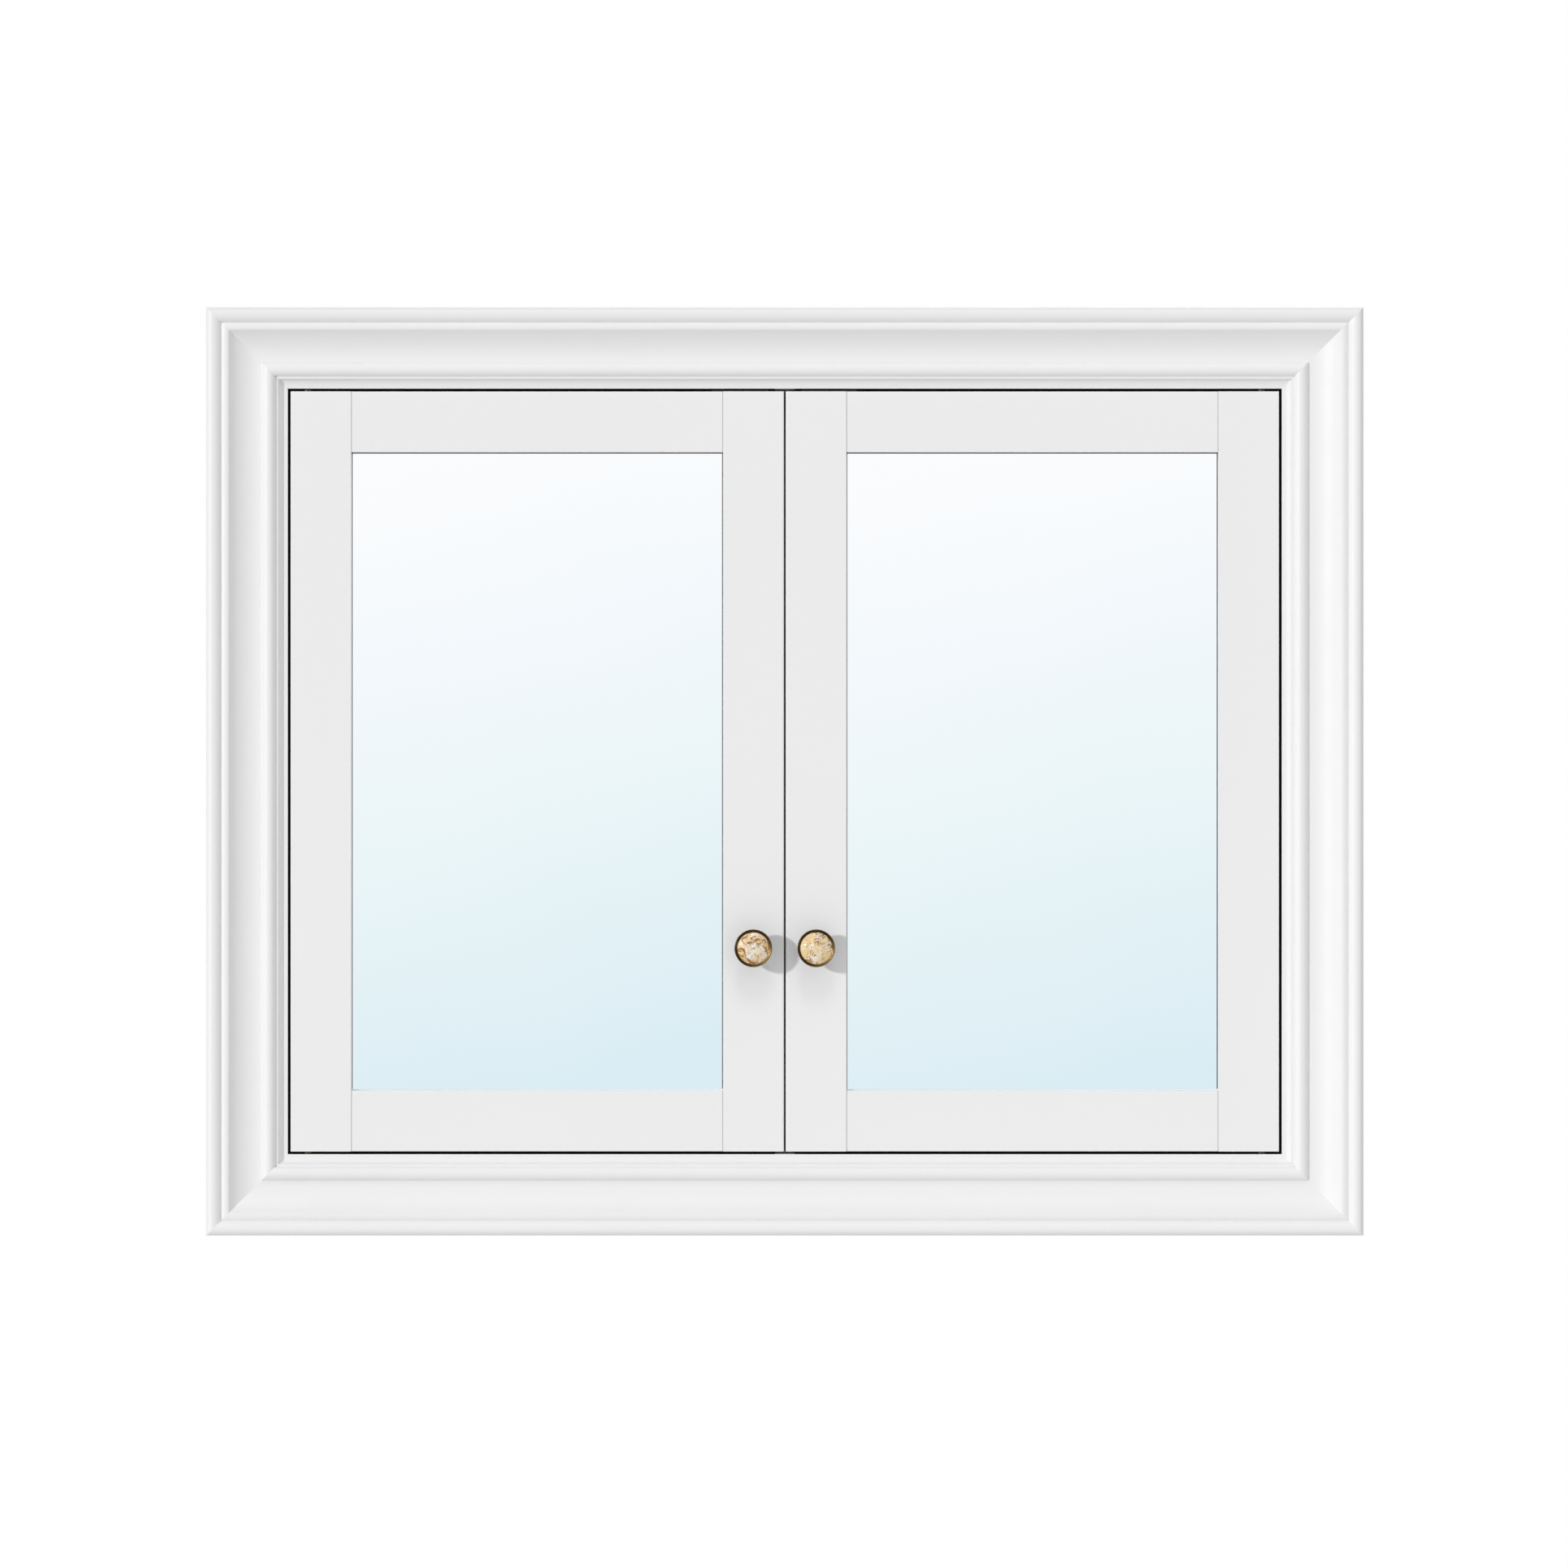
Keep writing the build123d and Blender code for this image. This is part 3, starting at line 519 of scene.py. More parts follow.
@dataclass(frozen=True)
class FloatGlass(Finish):
    """Float glass: nearly clear through its faces and sea green along its cloudier edges."""

    name: str = "float_glass"
    face: Colour = (0.93, 0.975, 0.96)
    edge: Colour = (0.36, 0.68, 0.56)
    edge_clearness: float = 0.3

    def paint(self, g: Graph) -> None:
        """Wires the glass; an edge is where the surface's own normal lies flat."""
        normal = g.add("ShaderNodeNewGeometry").outputs["True Normal"]
        edge = g.span(g.apart(g.axis(normal, 2), 0.0), 0.3, 0.8, 1.0, 0.0)
        g.set(base_color=g.blend(edge, self.face, self.edge), ior=1.5)
        g.set(transmission_weight=g.span(edge, 0.0, 1.0, 1.0, self.edge_clearness))
        g.set(roughness=g.mottle(40.0, 0.0, 0.015))


@dataclass(frozen=True)
class Sealant(Finish):
    """Grey sealant round a mirror, its tone painted by side: painted shade along the top and at the right, a
    lighter painted grey at the left, and painted light along the bottom.
    """

    name: str
    pane: Pane
    # Painted shade and light: each side's tone stands for how light falls on that edge of the glass.
    above: Colour = (0.06, 0.06, 0.065)
    left: Colour = (0.45, 0.46, 0.48)
    right: Colour = (0.03, 0.033, 0.038)
    light_at_bottom: Colour = (0.74, 0.76, 0.77)
    blur: float = 0.5 * MM

    def paint(self, g: Graph) -> None:
        """Wires the sealant; each side's painted tone starts a little inside its edge."""
        place = g.mapped(self.pane.centre)
        edge = self.pane.half[1] - 3 * self.blur
        upward = g.axis(place, 2)
        tone = g.blend(g.span(g.axis(place, 0), -self.blur, self.blur, 0.0, 1.0), self.left, self.right)
        tone = g.blend(g.span(upward, edge, edge + self.blur, 0.0, 1.0), tone, self.above)
        tone = g.blend(g.span(upward, -edge, -edge - self.blur, 0.0, 1.0), tone, self.light_at_bottom)
        g.set(base_color=tone, roughness=g.mottle(90.0, 0.45, 0.6))
        g.bump(g.noise(700.0, 2.0), 0.4, 0.06 * MM)


@dataclass(frozen=True)
class AntiqueBronze(Finish):
    """Dark bronze that turns to gold where the piece's attribute of rubbing and painted glint is high."""

    name: str = "antique_bronze"
    dark: Colour = (0.045, 0.029, 0.012)
    # Gold of rubbed edges and of painted glints.
    rubbed: Colour = (0.62, 0.42, 0.17)
    edge: Colour = (0.3, 0.25, 0.17)

    def paint(self, g: Graph) -> None:
        """Wires the metal; the gold of rubbing and painted glint is broken up by noise."""
        wear_and_glint = g.add("ShaderNodeAttribute", attribute_name="wear_and_glint").outputs["Fac"]
        patchy = g.span(g.noise(500.0, 4.0, 0.6), *g.NOISE_SPREAD, 0.55, 1.15)
        worn_and_glinting = g.math("MULTIPLY", wear_and_glint, patchy, clamp=True)
        g.set(base_color=g.blend(worn_and_glinting, self.dark, self.rubbed), specular_tint=self.edge)
        g.set(metallic=1.0, roughness=g.mottle(900.0, 0.24, 0.38))
        g.bump(g.noise(1400.0, 3.0), 0.25, 0.04 * MM)


@dataclass(frozen=True)
class MarbledCeramic(Finish):
    """Glossy white glaze with golden clouds, rust streaks and fine brown veins."""

    name: str
    centre: Point
    radius: float
    white: Colour = (0.83, 0.78, 0.72)
    cream: Colour = (0.77, 0.58, 0.29)
    gold: Colour = (0.66, 0.38, 0.085)
    rust: Colour = (0.3, 0.115, 0.02)
    vein: Colour = (0.16, 0.075, 0.02)
    gate: tuple[float, float] = (0.46, 0.52)

    def streaks(self, g: Graph, scale: float, width: float, breaks: float) -> Socket:
        """Lines where a bent noise passes through its middle value, cut up by another noise.

        Args:
            g: the glaze's graph.
            scale: how closely the lines wind, over a metre.
            width: how far from its middle value the bent noise still shows.
            breaks: how closely the lines are cut up, over a metre.

        Returns:
            1 on the middle of a line and 0 off it.
        """
        bent = g.noise(scale, 3.0, 0.55, distortion=2.0)
        line = g.span(g.apart(bent, 0.5), 0.3 * width, width, 1.0, 0.0)
        gate = g.span(g.noise(breaks, 2.0), *self.gate, 0.0, 1.0)
        return g.math("MULTIPLY", line, gate, clamp=True)

    def paint(self, g: Graph) -> None:
        """Wires the glaze: clouds over white, then streaks and veins over the clouds."""
        body: object = self.white
        for scale, detail, rough, bend, low, high, colour in (
            (150.0, 6.0, 0.62, 0.8, 0.42, 0.56, self.cream),
            (170.0, 7.0, 0.7, 1.2, 0.5, 0.66, self.gold),
        ):
            cloud = g.noise(scale, detail, rough, distortion=bend)
            body = g.blend(g.span(cloud, low, high, 0.0, 1.0), body, colour)
        place = g.mapped(self.centre)
        rim = g.add("ShaderNodeVectorMath", {0: place}, operation="LENGTH").outputs["Value"]
        body = g.blend(g.span(rim, self.radius * 0.8, self.radius * 1.05, 0.0, 0.5), body, self.cream)
        body = g.blend(self.streaks(g, 85.0, 0.05, 95.0), body, self.rust)
        body = g.blend(self.streaks(g, 150.0, 0.025, 120.0), body, self.vein)
        g.set(base_color=body, roughness=0.3, specular_ior_level=0.2)
        g.set(coat_weight=0.45, coat_roughness=0.03)
        g.bump(g.noise(300.0, 2.0), 0.12, 0.1 * MM)


@dataclass(frozen=True)
class Metal(Finish):
    """A plain plated or turned metal with fine scratches."""

    name: str
    colour: Colour
    shade: Colour
    roughness: tuple[float, float]
    stretch: Point = (900.0, 900.0, 90.0)

    def paint(self, g: Graph) -> None:
        """Wires the metal, its scratches a noise stretched along one way."""
        scratch = g.noise(1.0, 4.0, 0.6, g.mapped(scale=self.stretch))
        g.set(base_color=g.blend(g.noise(120.0), self.colour, self.shade), metallic=1.0)
        g.set(roughness=g.span(scratch, *g.NOISE_SPREAD, *self.roughness))
        g.bump(scratch, 0.12, 0.03 * MM)


@dataclass(frozen=True)
class Moulded(Finish):
    """A moulded plastic, rubber or pressed powder with a fine grain."""

    name: str
    colour: Colour
    shade: Colour
    roughness: float
    grain: float = 1500.0
    transmission: float = 0.0

    def paint(self, g: Graph) -> None:
        """Wires the moulded material."""
        g.set(base_color=g.blend(g.noise(150.0), self.colour, self.shade))
        g.set(roughness=self.roughness, transmission_weight=self.transmission)
        g.bump(g.noise(self.grain, 2.0), 0.4, 0.03 * MM)


@dataclass(frozen=True)
class PaleFloor(Finish):
    """A plain pale floor, lifted to white where it is seen directly."""

    name: str = "pale_floor"
    lift: float = 0.38

    def paint(self, g: Graph) -> None:
        """Wires the floor."""
        g.set(base_color=g.blend(g.noise(0.8), (0.8, 0.8, 0.8), (0.78, 0.78, 0.78)), roughness=0.9)
        seen = g.math("MULTIPLY", g.seen_directly(), self.lift)
        g.set(emission_color=WHITE, emission_strength=seen)


class Palette:
    """Every shared finish of the cabinet, made once."""

    def __init__(self) -> None:
        """Makes the shared materials."""
        # The moulding's lacquer, with painted shade deep in the gaps round the doors.
        self.lacquer = SatinLacquer(primed_gaps=True).material()
        self.board = FacedBoard().material()
        # The box's front edges, with painted shade in the gaps behind the doors.
        self.front_board = FacedBoard("faced_board_behind_gap", 11.0 * MM).material()
        self.hardboard = Fibrous(
            "hardboard", (0.26, 0.16, 0.085), (0.42, 0.28, 0.16), stretch=(900.0, 900.0, 320.0),
            detail=(6.0, 0.7), split=(0.35, 0.65), roughness=0.75, relief=0.4,
        ).material()
        self.beech = Fibrous(
            "bare_beech", (0.62, 0.42, 0.25), (0.43, 0.26, 0.13), stretch=(180.0, 900.0, 900.0),
            detail=(5.0, 0.6), split=(0.4, 0.7), roughness=0.6, relief=0.3,
        ).material()
        self.glass = FloatGlass().material()
        self.bronze = AntiqueBronze().material()
        self.zinc, self.nickel, self.brass = (Metal(*values).material() for values in (
            ("zinc_plate", (0.62, 0.62, 0.6), (0.52, 0.53, 0.53), (0.26, 0.42)),
            ("nickel_plate", (0.74, 0.72, 0.68), (0.66, 0.64, 0.6), (0.12, 0.22)),
            ("darkened_brass", (0.06, 0.045, 0.026), (0.035, 0.027, 0.017), (0.3, 0.42)),
        ))
        self.plastic, self.ferrite, self.rubber = (Moulded(*values).material() for values in (
            ("catch_plastic", (0.78, 0.78, 0.76), (0.74, 0.74, 0.72), 0.42),
            ("ferrite", (0.05, 0.05, 0.055), (0.075, 0.075, 0.08), 0.6, 2500.0),
            ("clear_rubber", (0.82, 0.84, 0.84), (0.78, 0.8, 0.8), 0.25, 900.0, 0.7),
        ))


def dress(material: Material, *nodes: str) -> None:
    """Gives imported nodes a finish."""
    for name in nodes:
        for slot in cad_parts[name].material_slots:
            slot.material = material
        LOG.info("dressed %s in %s", name, material.name)


def fit_piece(piece: Piece, body: str, slot: str, material: Material, *nodes: str) -> None:
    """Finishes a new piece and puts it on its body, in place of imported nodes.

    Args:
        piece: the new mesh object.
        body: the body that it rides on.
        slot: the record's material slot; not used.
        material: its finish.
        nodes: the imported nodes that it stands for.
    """
    piece.data.materials.append(material)
    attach(piece, body)
    if nodes:
        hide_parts(*nodes)
    LOG.info("made %s on %s", piece.name, body)


# Sub-assemblies


@dataclass
class MouldedFrame:
    """The four mitred lengths of moulding."""

    palette: Palette
    lip_height: float = 13.0 * MM
    lip_round: float = 0.7 * MM
    bead_top_place: float = 5.5 * MM
    bead_width: float = 12.4 * MM
    bead_drop: float = 4.0 * MM
    fillet_width: float = 6.2 * MM
    fillet_rise: float = 0.9 * MM
    fillet_crown: float = 0.8 * MM
    cove_run: float = 22.5 * MM
    cove_drop: float = 10.6 * MM
    cove_runout: float = 3.4 * MM
    astragal_outer_run: float = 6.2 * MM
    astragal_inner_run: float = 5.4 * MM
    astragal_rise: float = 4.4 * MM
    quirk_width: float = 2.2 * MM
    inner_cove_radius: float = 4.6 * MM
    relief_depth: float = 2.0 * MM
    relief_start: float = 10.0 * MM
    relief_width: float = 34.0 * MM
    steps: int = 14
    sharp_degrees: float = 26.0
    half_width: float = field(init=False)
    half_height: float = field(init=False)
    width: float = field(init=False)
    bead_height: float = field(init=False)

    def __post_init__(self) -> None:
        """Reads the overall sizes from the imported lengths."""
        low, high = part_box("moulding_top")
        self.half_width = high.x
        self.half_height = high.z
        self.width = high.z - low.z
        self.bead_height = -low.y

    def profile(self) -> np.ndarray:
        """The section as (distance in, height off the wall) points, a closed loop.

        Bead, crowned fillet, cove and astragal are arcs that meet end to end, each
        worked out from its run and its drop; straight lines close the back.
        """
        top, crown = self.bead_height, self.bead_top_place
        valley = top - self.bead_drop
        fillet_end = self.bead_width + self.fillet_width
        cove_top = valley + self.fillet_rise
        cove_radius = radius_for(self.cove_run, self.cove_drop)
        cove_low = fillet_end + self.cove_run
        cove_centre = (cove_low, cove_top - self.cove_drop + cove_radius)
        cove_end = cove_low + self.cove_runout
        cove_end_height = cove_centre[1] - math.sqrt(cove_radius**2 - self.cove_runout**2)
        crest = cove_end + self.astragal_outer_run
        crest_height = cove_end_height + self.astragal_rise
        outer = radius_for(self.astragal_outer_run, self.astragal_rise)
        step_height = self.lip_height + self.inner_cove_radius
        step = crest + self.astragal_inner_run
        inner = radius_for(self.astragal_inner_run, crest_height - step_height)
        bead = radius_for(self.bead_width - crown, self.bead_drop)
        middle = (self.bead_width + fillet_end) / 2
        half = self.fillet_width / 2
        fillet = radius_for(half, self.fillet_crown)
        cove_start = step + self.quirk_width
        cove_stop = cove_start + self.inner_cove_radius
        edge = self.width - self.lip_round
        relief_end = self.relief_start + self.relief_width
        n = self.steps
        slope = (cove_top - valley) / self.fillet_width
        along = np.linspace(self.bead_width, fillet_end, n)
        bulge = np.sqrt(fillet**2 - (along - middle) ** 2) - (fillet - self.fillet_crown)
        crowned = np.stack((along, valley + slope * (along - self.bead_width) + bulge), axis=1)
        parts = [
            np.array([(0.0, 0.0)]),
            arc((0, top - crown), (crown, top), (crown, top - crown), n),
            arc((crown, top), (self.bead_width, valley), (crown, top - bead), n)[1:],
            crowned[1:],
            arc((fillet_end, cove_top), (cove_end, cove_end_height), cove_centre, 2 * n)[1:],
            arc((cove_end, cove_end_height), (crest, crest_height), (crest, crest_height - outer), n)[1:],
            arc((crest, crest_height), (step, step_height), (crest, crest_height - inner), n)[1:],
            arc((cove_start, step_height), (cove_stop, self.lip_height), (cove_stop, step_height), n),
            arc((edge, self.lip_height), (self.width, self.lip_height - self.lip_round),
                (edge, self.lip_height - self.lip_round), n // 2),
            np.array([
                (self.width, 0.0),
                (relief_end, 0.0),
                (relief_end - self.relief_depth, self.relief_depth),
                (self.relief_start + self.relief_depth, self.relief_depth),
                (self.relief_start, 0.0),
            ]),
        ]
        return np.concatenate(parts)

    def length(self, name: str, rise: int, upright: bool) -> Piece:
        """One mitred length: the section carried along, each point by its own mitred reach.

        A point at a distance s in from the outer edge runs from -(half - s) to
        +(half - s) along the length, which makes both mitres.

        Args:
            name: the piece's name.
            rise: -1 or 1, which side of the middle the length is on.
            upright: True for the left and right lengths.

        Returns:
            The mesh object.
        """
        section = self.profile()
        inward, height = section[:, 0], section[:, 1]
        half, reach = self.half_width, self.half_height
        if upright:
            half, reach = reach, half
        ends = np.array([-1.0, 1.0])
        along = ends[:, None] * (half - inward)
        out = np.broadcast_to(rise * (reach - inward), along.shape)
        depth = np.broadcast_to(-height, along.shape)
        order = (out, depth, along) if upright else (along, depth, out)
        points = np.stack(order, axis=-1).reshape(-1, 3)
        return make_piece(name, points, tube_faces(2, len(section)), self.sharp_degrees)

    def leaf_pocket(self, leaf: str, rise: int) -> Piece:
        """A tool shaped as a pivot leaf: straight sides and one round end, about its pivot.

        Args:
            leaf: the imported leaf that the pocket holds.
            rise: 1 for an upper leaf, -1 for a lower one.

        Returns:
            A mesh object that fills the pocket and stands proud of the opening.
        """
        low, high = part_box(leaf)
        side = -1 if high.x < 0 else 1
        radius, middle = (high.y - low.y) / 2, (high.y + low.y) / 2
        outer, inner = (low.x, high.x) if side < 0 else (high.x, low.x)
        pivot = outer - side * radius
        turn = np.linspace(-math.pi / 2, math.pi / 2, 2 * self.steps)
        round_end = np.stack((pivot + side * radius * np.cos(turn), middle + radius * np.sin(turn)), axis=1)
        loop = np.concatenate((round_end, [(inner, high.y), (inner, low.y)]))
        deep = high.z if rise > 0 else low.z
        shallow = rise * (self.half_height - self.width - self.lip_round)
        return make_piece(f"pocket_{leaf}", *prism(loop, 2, shallow, deep))

    def key_pocket(self, key: np.ndarray) -> Piece:
        """A tool shaped as one packed bow-tie key: its outline, in order round its middle."""
        deep = key[:, 1].min()
        loop = key[key[:, 1] < deep + self.lip_round][:, [0, 2]]
        spoke = loop - loop.mean(0)
        loop = loop[np.argsort(np.arctan2(spoke[:, 1], spoke[:, 0]))]
        return make_piece("pocket_key", *prism(loop, 1, deep, 0.0))

    def cut(self, piece: Piece, tool: Piece) -> None:
        """Takes a tool out of a piece, and the tool out of the scene."""
        change = piece.modifiers.new("pocket", "BOOLEAN")
        change.object = tool
        change.solver = "EXACT"
        bpy.context.view_layer.update()
        shaped = piece.evaluated_get(bpy.context.evaluated_depsgraph_get())
        mesh = bpy.data.meshes.new_from_object(shaped)
        piece.modifiers.clear()
        piece.data = mesh
        bpy.data.objects.remove(tool)

    def build(self) -> None:
        """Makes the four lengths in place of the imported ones."""
        places = {"top": (1, False), "bottom": (-1, False), "left": (-1, True), "right": (1, True)}
        keys = islands("mitre_keys")
        for word, (rise, upright) in places.items():
            piece = self.length(f"moulding_length_{word}", rise, upright)
            axis = 0 if upright else 2
            for key in keys:
                if key[:, axis].mean() * rise > 0:
                    self.cut(piece, self.key_pocket(key))
            if not upright:
                level = "upper" if rise > 0 else "lower"
                for side in Side:
                    self.cut(piece, self.leaf_pocket(f"{side.word}_{level}_pivot_leaf", rise))
            smooth(piece.data, self.sharp_degrees)
            fit_piece(piece, "cabinet", "painted_wood", self.palette.lacquer, f"moulding_{word}")


@dataclass
class Screws:
    """The screws of one node, each with a cross recess in its head."""

    palette: Palette
    node: str
    body: str
    countersunk: bool = True
    head_height: float = 1.7 * MM
    shank_radius: float = 1.4 * MM
    tip: float = 3.0 * MM
    rings: int = 12
    steps: int = 32
    face_share: float = 0.94
    pan_bulge: float = 0.3
    recess_reach: float = 0.62
    recess_width: float = 0.16
    recess_depth: float = 0.34

    def outline(self, radius: float, length: float) -> np.ndarray:
        """The screw's (radius, height) outline, from the middle of its head to its tip.

        A countersunk head is flat and then a cone.  A pan head falls from its middle
        as the square of the radius, to a straight side.
        """
        across = np.linspace(0, self.face_share * radius, self.rings)
        bulge = 0.0 if self.countersunk else self.pan_bulge * self.head_height
        face = np.stack((across, -bulge * (across / radius) ** 2), axis=1)
        if self.countersunk:
            side = [(radius, -0.04 * radius), (self.shank_radius, -self.head_height)]
        else:
            side = [(radius, -1.4 * bulge), (radius, -self.head_height),
                    (self.shank_radius, -self.head_height)]
        return np.concatenate((face, side, [(self.shank_radius, self.tip - length), (0.0, -length)]))

    def one(self, points: np.ndarray) -> tuple[np.ndarray, Faces]:
        """A screw that fills the place of one packed screw, turned about its long axis.

        The head's face is pressed in by a cross.  Its depth is full near the middle of
        an arm and fades to nothing at the arm's side and at its end.

        Args:
            points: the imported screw's vertices.

        Returns:
            Points and faces in place.
        """
        low, high = points.min(0), points.max(0)
        axis = int(np.argmax(high - low))
        centre = (low + high) / 2
        first, second = (k for k in range(3) if k != axis)
        across = np.hypot(points[:, first] - centre[first], points[:, second] - centre[second])
        radius = across.max()
        toward = np.sign(points[across > 0.98 * radius, axis].mean() - centre[axis])
        mesh, faces = turned_mesh(self.outline(radius, high[axis] - low[axis]), self.steps)
        flat = np.abs(mesh[:, :2]) / radius
        near, far = flat.min(1), flat.max(1)
        wall = np.clip(2 * (1 - near / self.recess_width), 0, 1)
        reach = np.clip(1.6 * (1 - far / self.recess_reach), 0, 1)
        face = mesh[:, 2] > -0.5 * self.head_height
        mesh[face, 2] -= (wall * reach * self.recess_depth * radius)[face]
        placed = np.empty_like(mesh)
        placed[:, first] = centre[first] + mesh[:, 0]
        placed[:, second] = centre[second] + mesh[:, 1]
        placed[:, axis] = (high[axis] if toward > 0 else low[axis]) + toward * mesh[:, 2]
        turned_over = toward * (1 if axis != 1 else -1) < 0
        return placed, [face[::-1] for face in faces] if turned_over else faces

    def build(self) -> None:
        """Makes one piece that holds every screw of the node."""
        points, faces, used = [], [], 0
        for solid in islands(self.node):
            mesh, quads = self.one(solid)
            points.append(mesh)
            faces += [np.asarray(quad) + used for quad in quads]
            used += len(mesh)
        piece = make_piece(f"{self.node}_cross_head", np.concatenate(points), faces)
        fit_piece(piece, self.body, "zinc_steel", self.palette.zinc, self.node)


@dataclass
class Knob:
    """A turned bronze knob with a domed ceramic insert."""

    palette: Palette
    side: Side
    steps: int = 96
    sharp_degrees: float = 40.0
    foot_radius: float = 7.5 * MM
    foot_height: float = 2.5 * MM
    foot_round: float = 0.6 * MM
    neck_radius: float = 5.0 * MM
    neck_share: float = 0.4
    rim_height: float = 5.0 * MM
    rim_width: float = 2.2 * MM
    rim_bead: float = 1.4 * MM
    inner_drop: float = 0.25 * MM
    rim_round: float = 0.7 * MM
    groove_depth: float = 0.25 * MM
    groove_ends: tuple[float, float] = (1.4, 3.4)
    insert_round: float = 0.5 * MM
    insert_crown: float = 3.4 * MM
    # Painted glint round the ring: where it gathers, its least share and how fast it falls away.
    rubbed_toward: float = -35.0
    rubbed_least: float = 0.04
    rubbed_falloff: float = 6.0

    def turned(self, part: str, outline: np.ndarray, centre: Point) -> Piece:
        """Turns an outline into a piece whose axis points out of the door, at the knob."""
        mesh, faces = turned_mesh(outline, self.steps)
        placed = (mesh[:, 0] + centre[0], centre[1] - mesh[:, 2], mesh[:, 1] + centre[2])
        return make_piece(f"{self.side.word}_knob_{part}", np.column_stack(placed), faces, self.sharp_degrees)

    def outline(self, radius: float, front: float, seat: float) -> tuple[np.ndarray, np.ndarray]:
        """The body's (radius, height) outline, and the rubbing and painted glint of each of its points.

        The foot is a disc with a rounded edge.  From it the radius eases down to the
        waist as 3t^2 - 2t^3, and from the waist it flares out as t^1.7 to the rim.  The
        rim has a rounded back edge, a fine groove round it, and two half-round beads on
        its front, the inner one finer and a little lower.

        Args:
            radius: the rim's radius.
            front: height of the rim's front.
            seat: height of the flat that the insert lies on.

        Returns:
            The outline's points, and the wear from 0 to 1 of each of them.
        """
        back = front - self.rim_height
        waist = self.foot_height + (back - self.foot_height) * self.neck_share
        flare_end = radius - self.rim_round
        foot_flat = self.foot_radius - self.foot_round
        t = np.linspace(0, 1, 14)
        ease = t * t * (3 - 2 * t)
        drawn_in = foot_flat + (self.neck_radius - foot_flat) * ease
        neck = np.stack((drawn_in, self.foot_height + (waist - self.foot_height) * t), axis=1)
        flared = self.neck_radius + (flare_end - self.neck_radius) * t**1.7
        bell = np.stack((flared, waist + (back - waist) * t**0.8), axis=1)
        foot = arc((self.foot_radius, self.foot_height - self.foot_round), (foot_flat, self.foot_height),
                   (foot_flat, self.foot_height - self.foot_round), 6)
        edge = arc((flare_end, back), (radius, back + self.rim_round), (flare_end, back + self.rim_round), 6)
        groove = np.linspace(*(back + share * self.rim_round for share in self.groove_ends), 9)
        dip = self.groove_depth * (1 - np.cos(np.linspace(0, 2 * math.pi, 9))) / 2
        turn = np.linspace(0, math.pi, 17)
        half = self.rim_bead / 2
        crest = np.stack((radius - half + half * np.cos(turn), front - half + half * np.sin(turn)), axis=1)
        fine = (self.rim_width - self.rim_bead) / 2
        middle, top = radius - self.rim_width + fine, front - self.inner_drop - fine
        inner = np.stack((middle + fine * np.cos(turn[1:]), top + fine * np.sin(turn[1:])), axis=1)
        parts = (
            (np.array([(0.0, 0.0), (self.foot_radius, 0.0)]), 0.1),
            (foot, 0.7),
            (neck[1:], 0.15),
            (bell[1:], 0.2),
            (edge[1:], 0.5),
            (np.stack((radius - dip, groove), axis=1), 0.15),
            (crest, 0.4),
            (inner, 0.9),
            (np.array([(radius - self.rim_width, seat), (0.0, seat)]), 0.1),
        )
        points = np.concatenate([part for part, _ in parts])
        wear_and_glint = np.concatenate([np.broadcast_to(value, len(part)) for part, value in parts])
        return points, wear_and_glint

    def build(self) -> None:
        """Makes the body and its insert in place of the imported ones."""
        word, body = self.side.word, self.side.door
        low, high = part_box(f"{word}_knob_body")
        insert_low, insert_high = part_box(f"{word}_knob_insert")
        centre = ((low.x + high.x) / 2, high.y, (low.z + high.z) / 2)
        seat = high.y - insert_high.y
        points, wear_and_glint = self.outline((high.x - low.x) / 2, high.y - low.y, seat)
        piece = self.turned("turned", points, centre)
        # Painted glint: the gold gathers toward the lower right of the ring, where it catches the light.
        angle = np.arange(self.steps) * (2 * math.pi / self.steps) - math.radians(self.rubbed_toward)
        facing = ((1 + np.cos(angle)) / 2) ** self.rubbed_falloff
        rubbed = self.rubbed_least + (1 - self.rubbed_least) * facing
        values = np.concatenate((np.outer(wear_and_glint[1:-1], rubbed).ravel(), wear_and_glint[[0, -1]]))
        piece.data.attributes.new("wear_and_glint", "FLOAT", "POINT").data.foreach_set("value", values)
        fit_piece(piece, body, "antique_bronze", self.palette.bronze, f"{word}_knob_body")
        self.insert(centre, (insert_high.x - insert_low.x) / 2, high.y - insert_low.y, seat)

    def insert(self, centre: Point, radius: float, front: float, back: float) -> None:
        """The domed insert: its height falls as a circle's arc, to a rounded edge.

        Args:
            centre: the knob's centre on the door's face.
            radius: the insert's radius.
            front: how far the dome's crown stands out of the door.
            back: how far the insert's back stands out of the door.
        """
        word = self.side.word
        flat = radius - self.insert_round
        rim = front - self.insert_crown
        crown = radius_for(flat, self.insert_crown)
        across = np.linspace(0, flat, 34)
        dome = np.stack((across, front - crown + np.sqrt(crown**2 - across**2)), axis=1)
        turn = arc((flat, rim), (radius, rim - self.insert_round), (flat, rim - self.insert_round), 7)[1:]
        outline = np.concatenate((dome, turn, [(radius, back), (0.0, back)]))
        piece = self.turned("ceramic", outline, centre)
        spot = (centre[0], centre[1] - front, centre[2])
        glaze = MarbledCeramic(f"{word}_marbled_ceramic", spot, radius).material()
        fit_piece(piece, self.side.door, "glazed_ceramic", glaze, f"{word}_knob_insert")


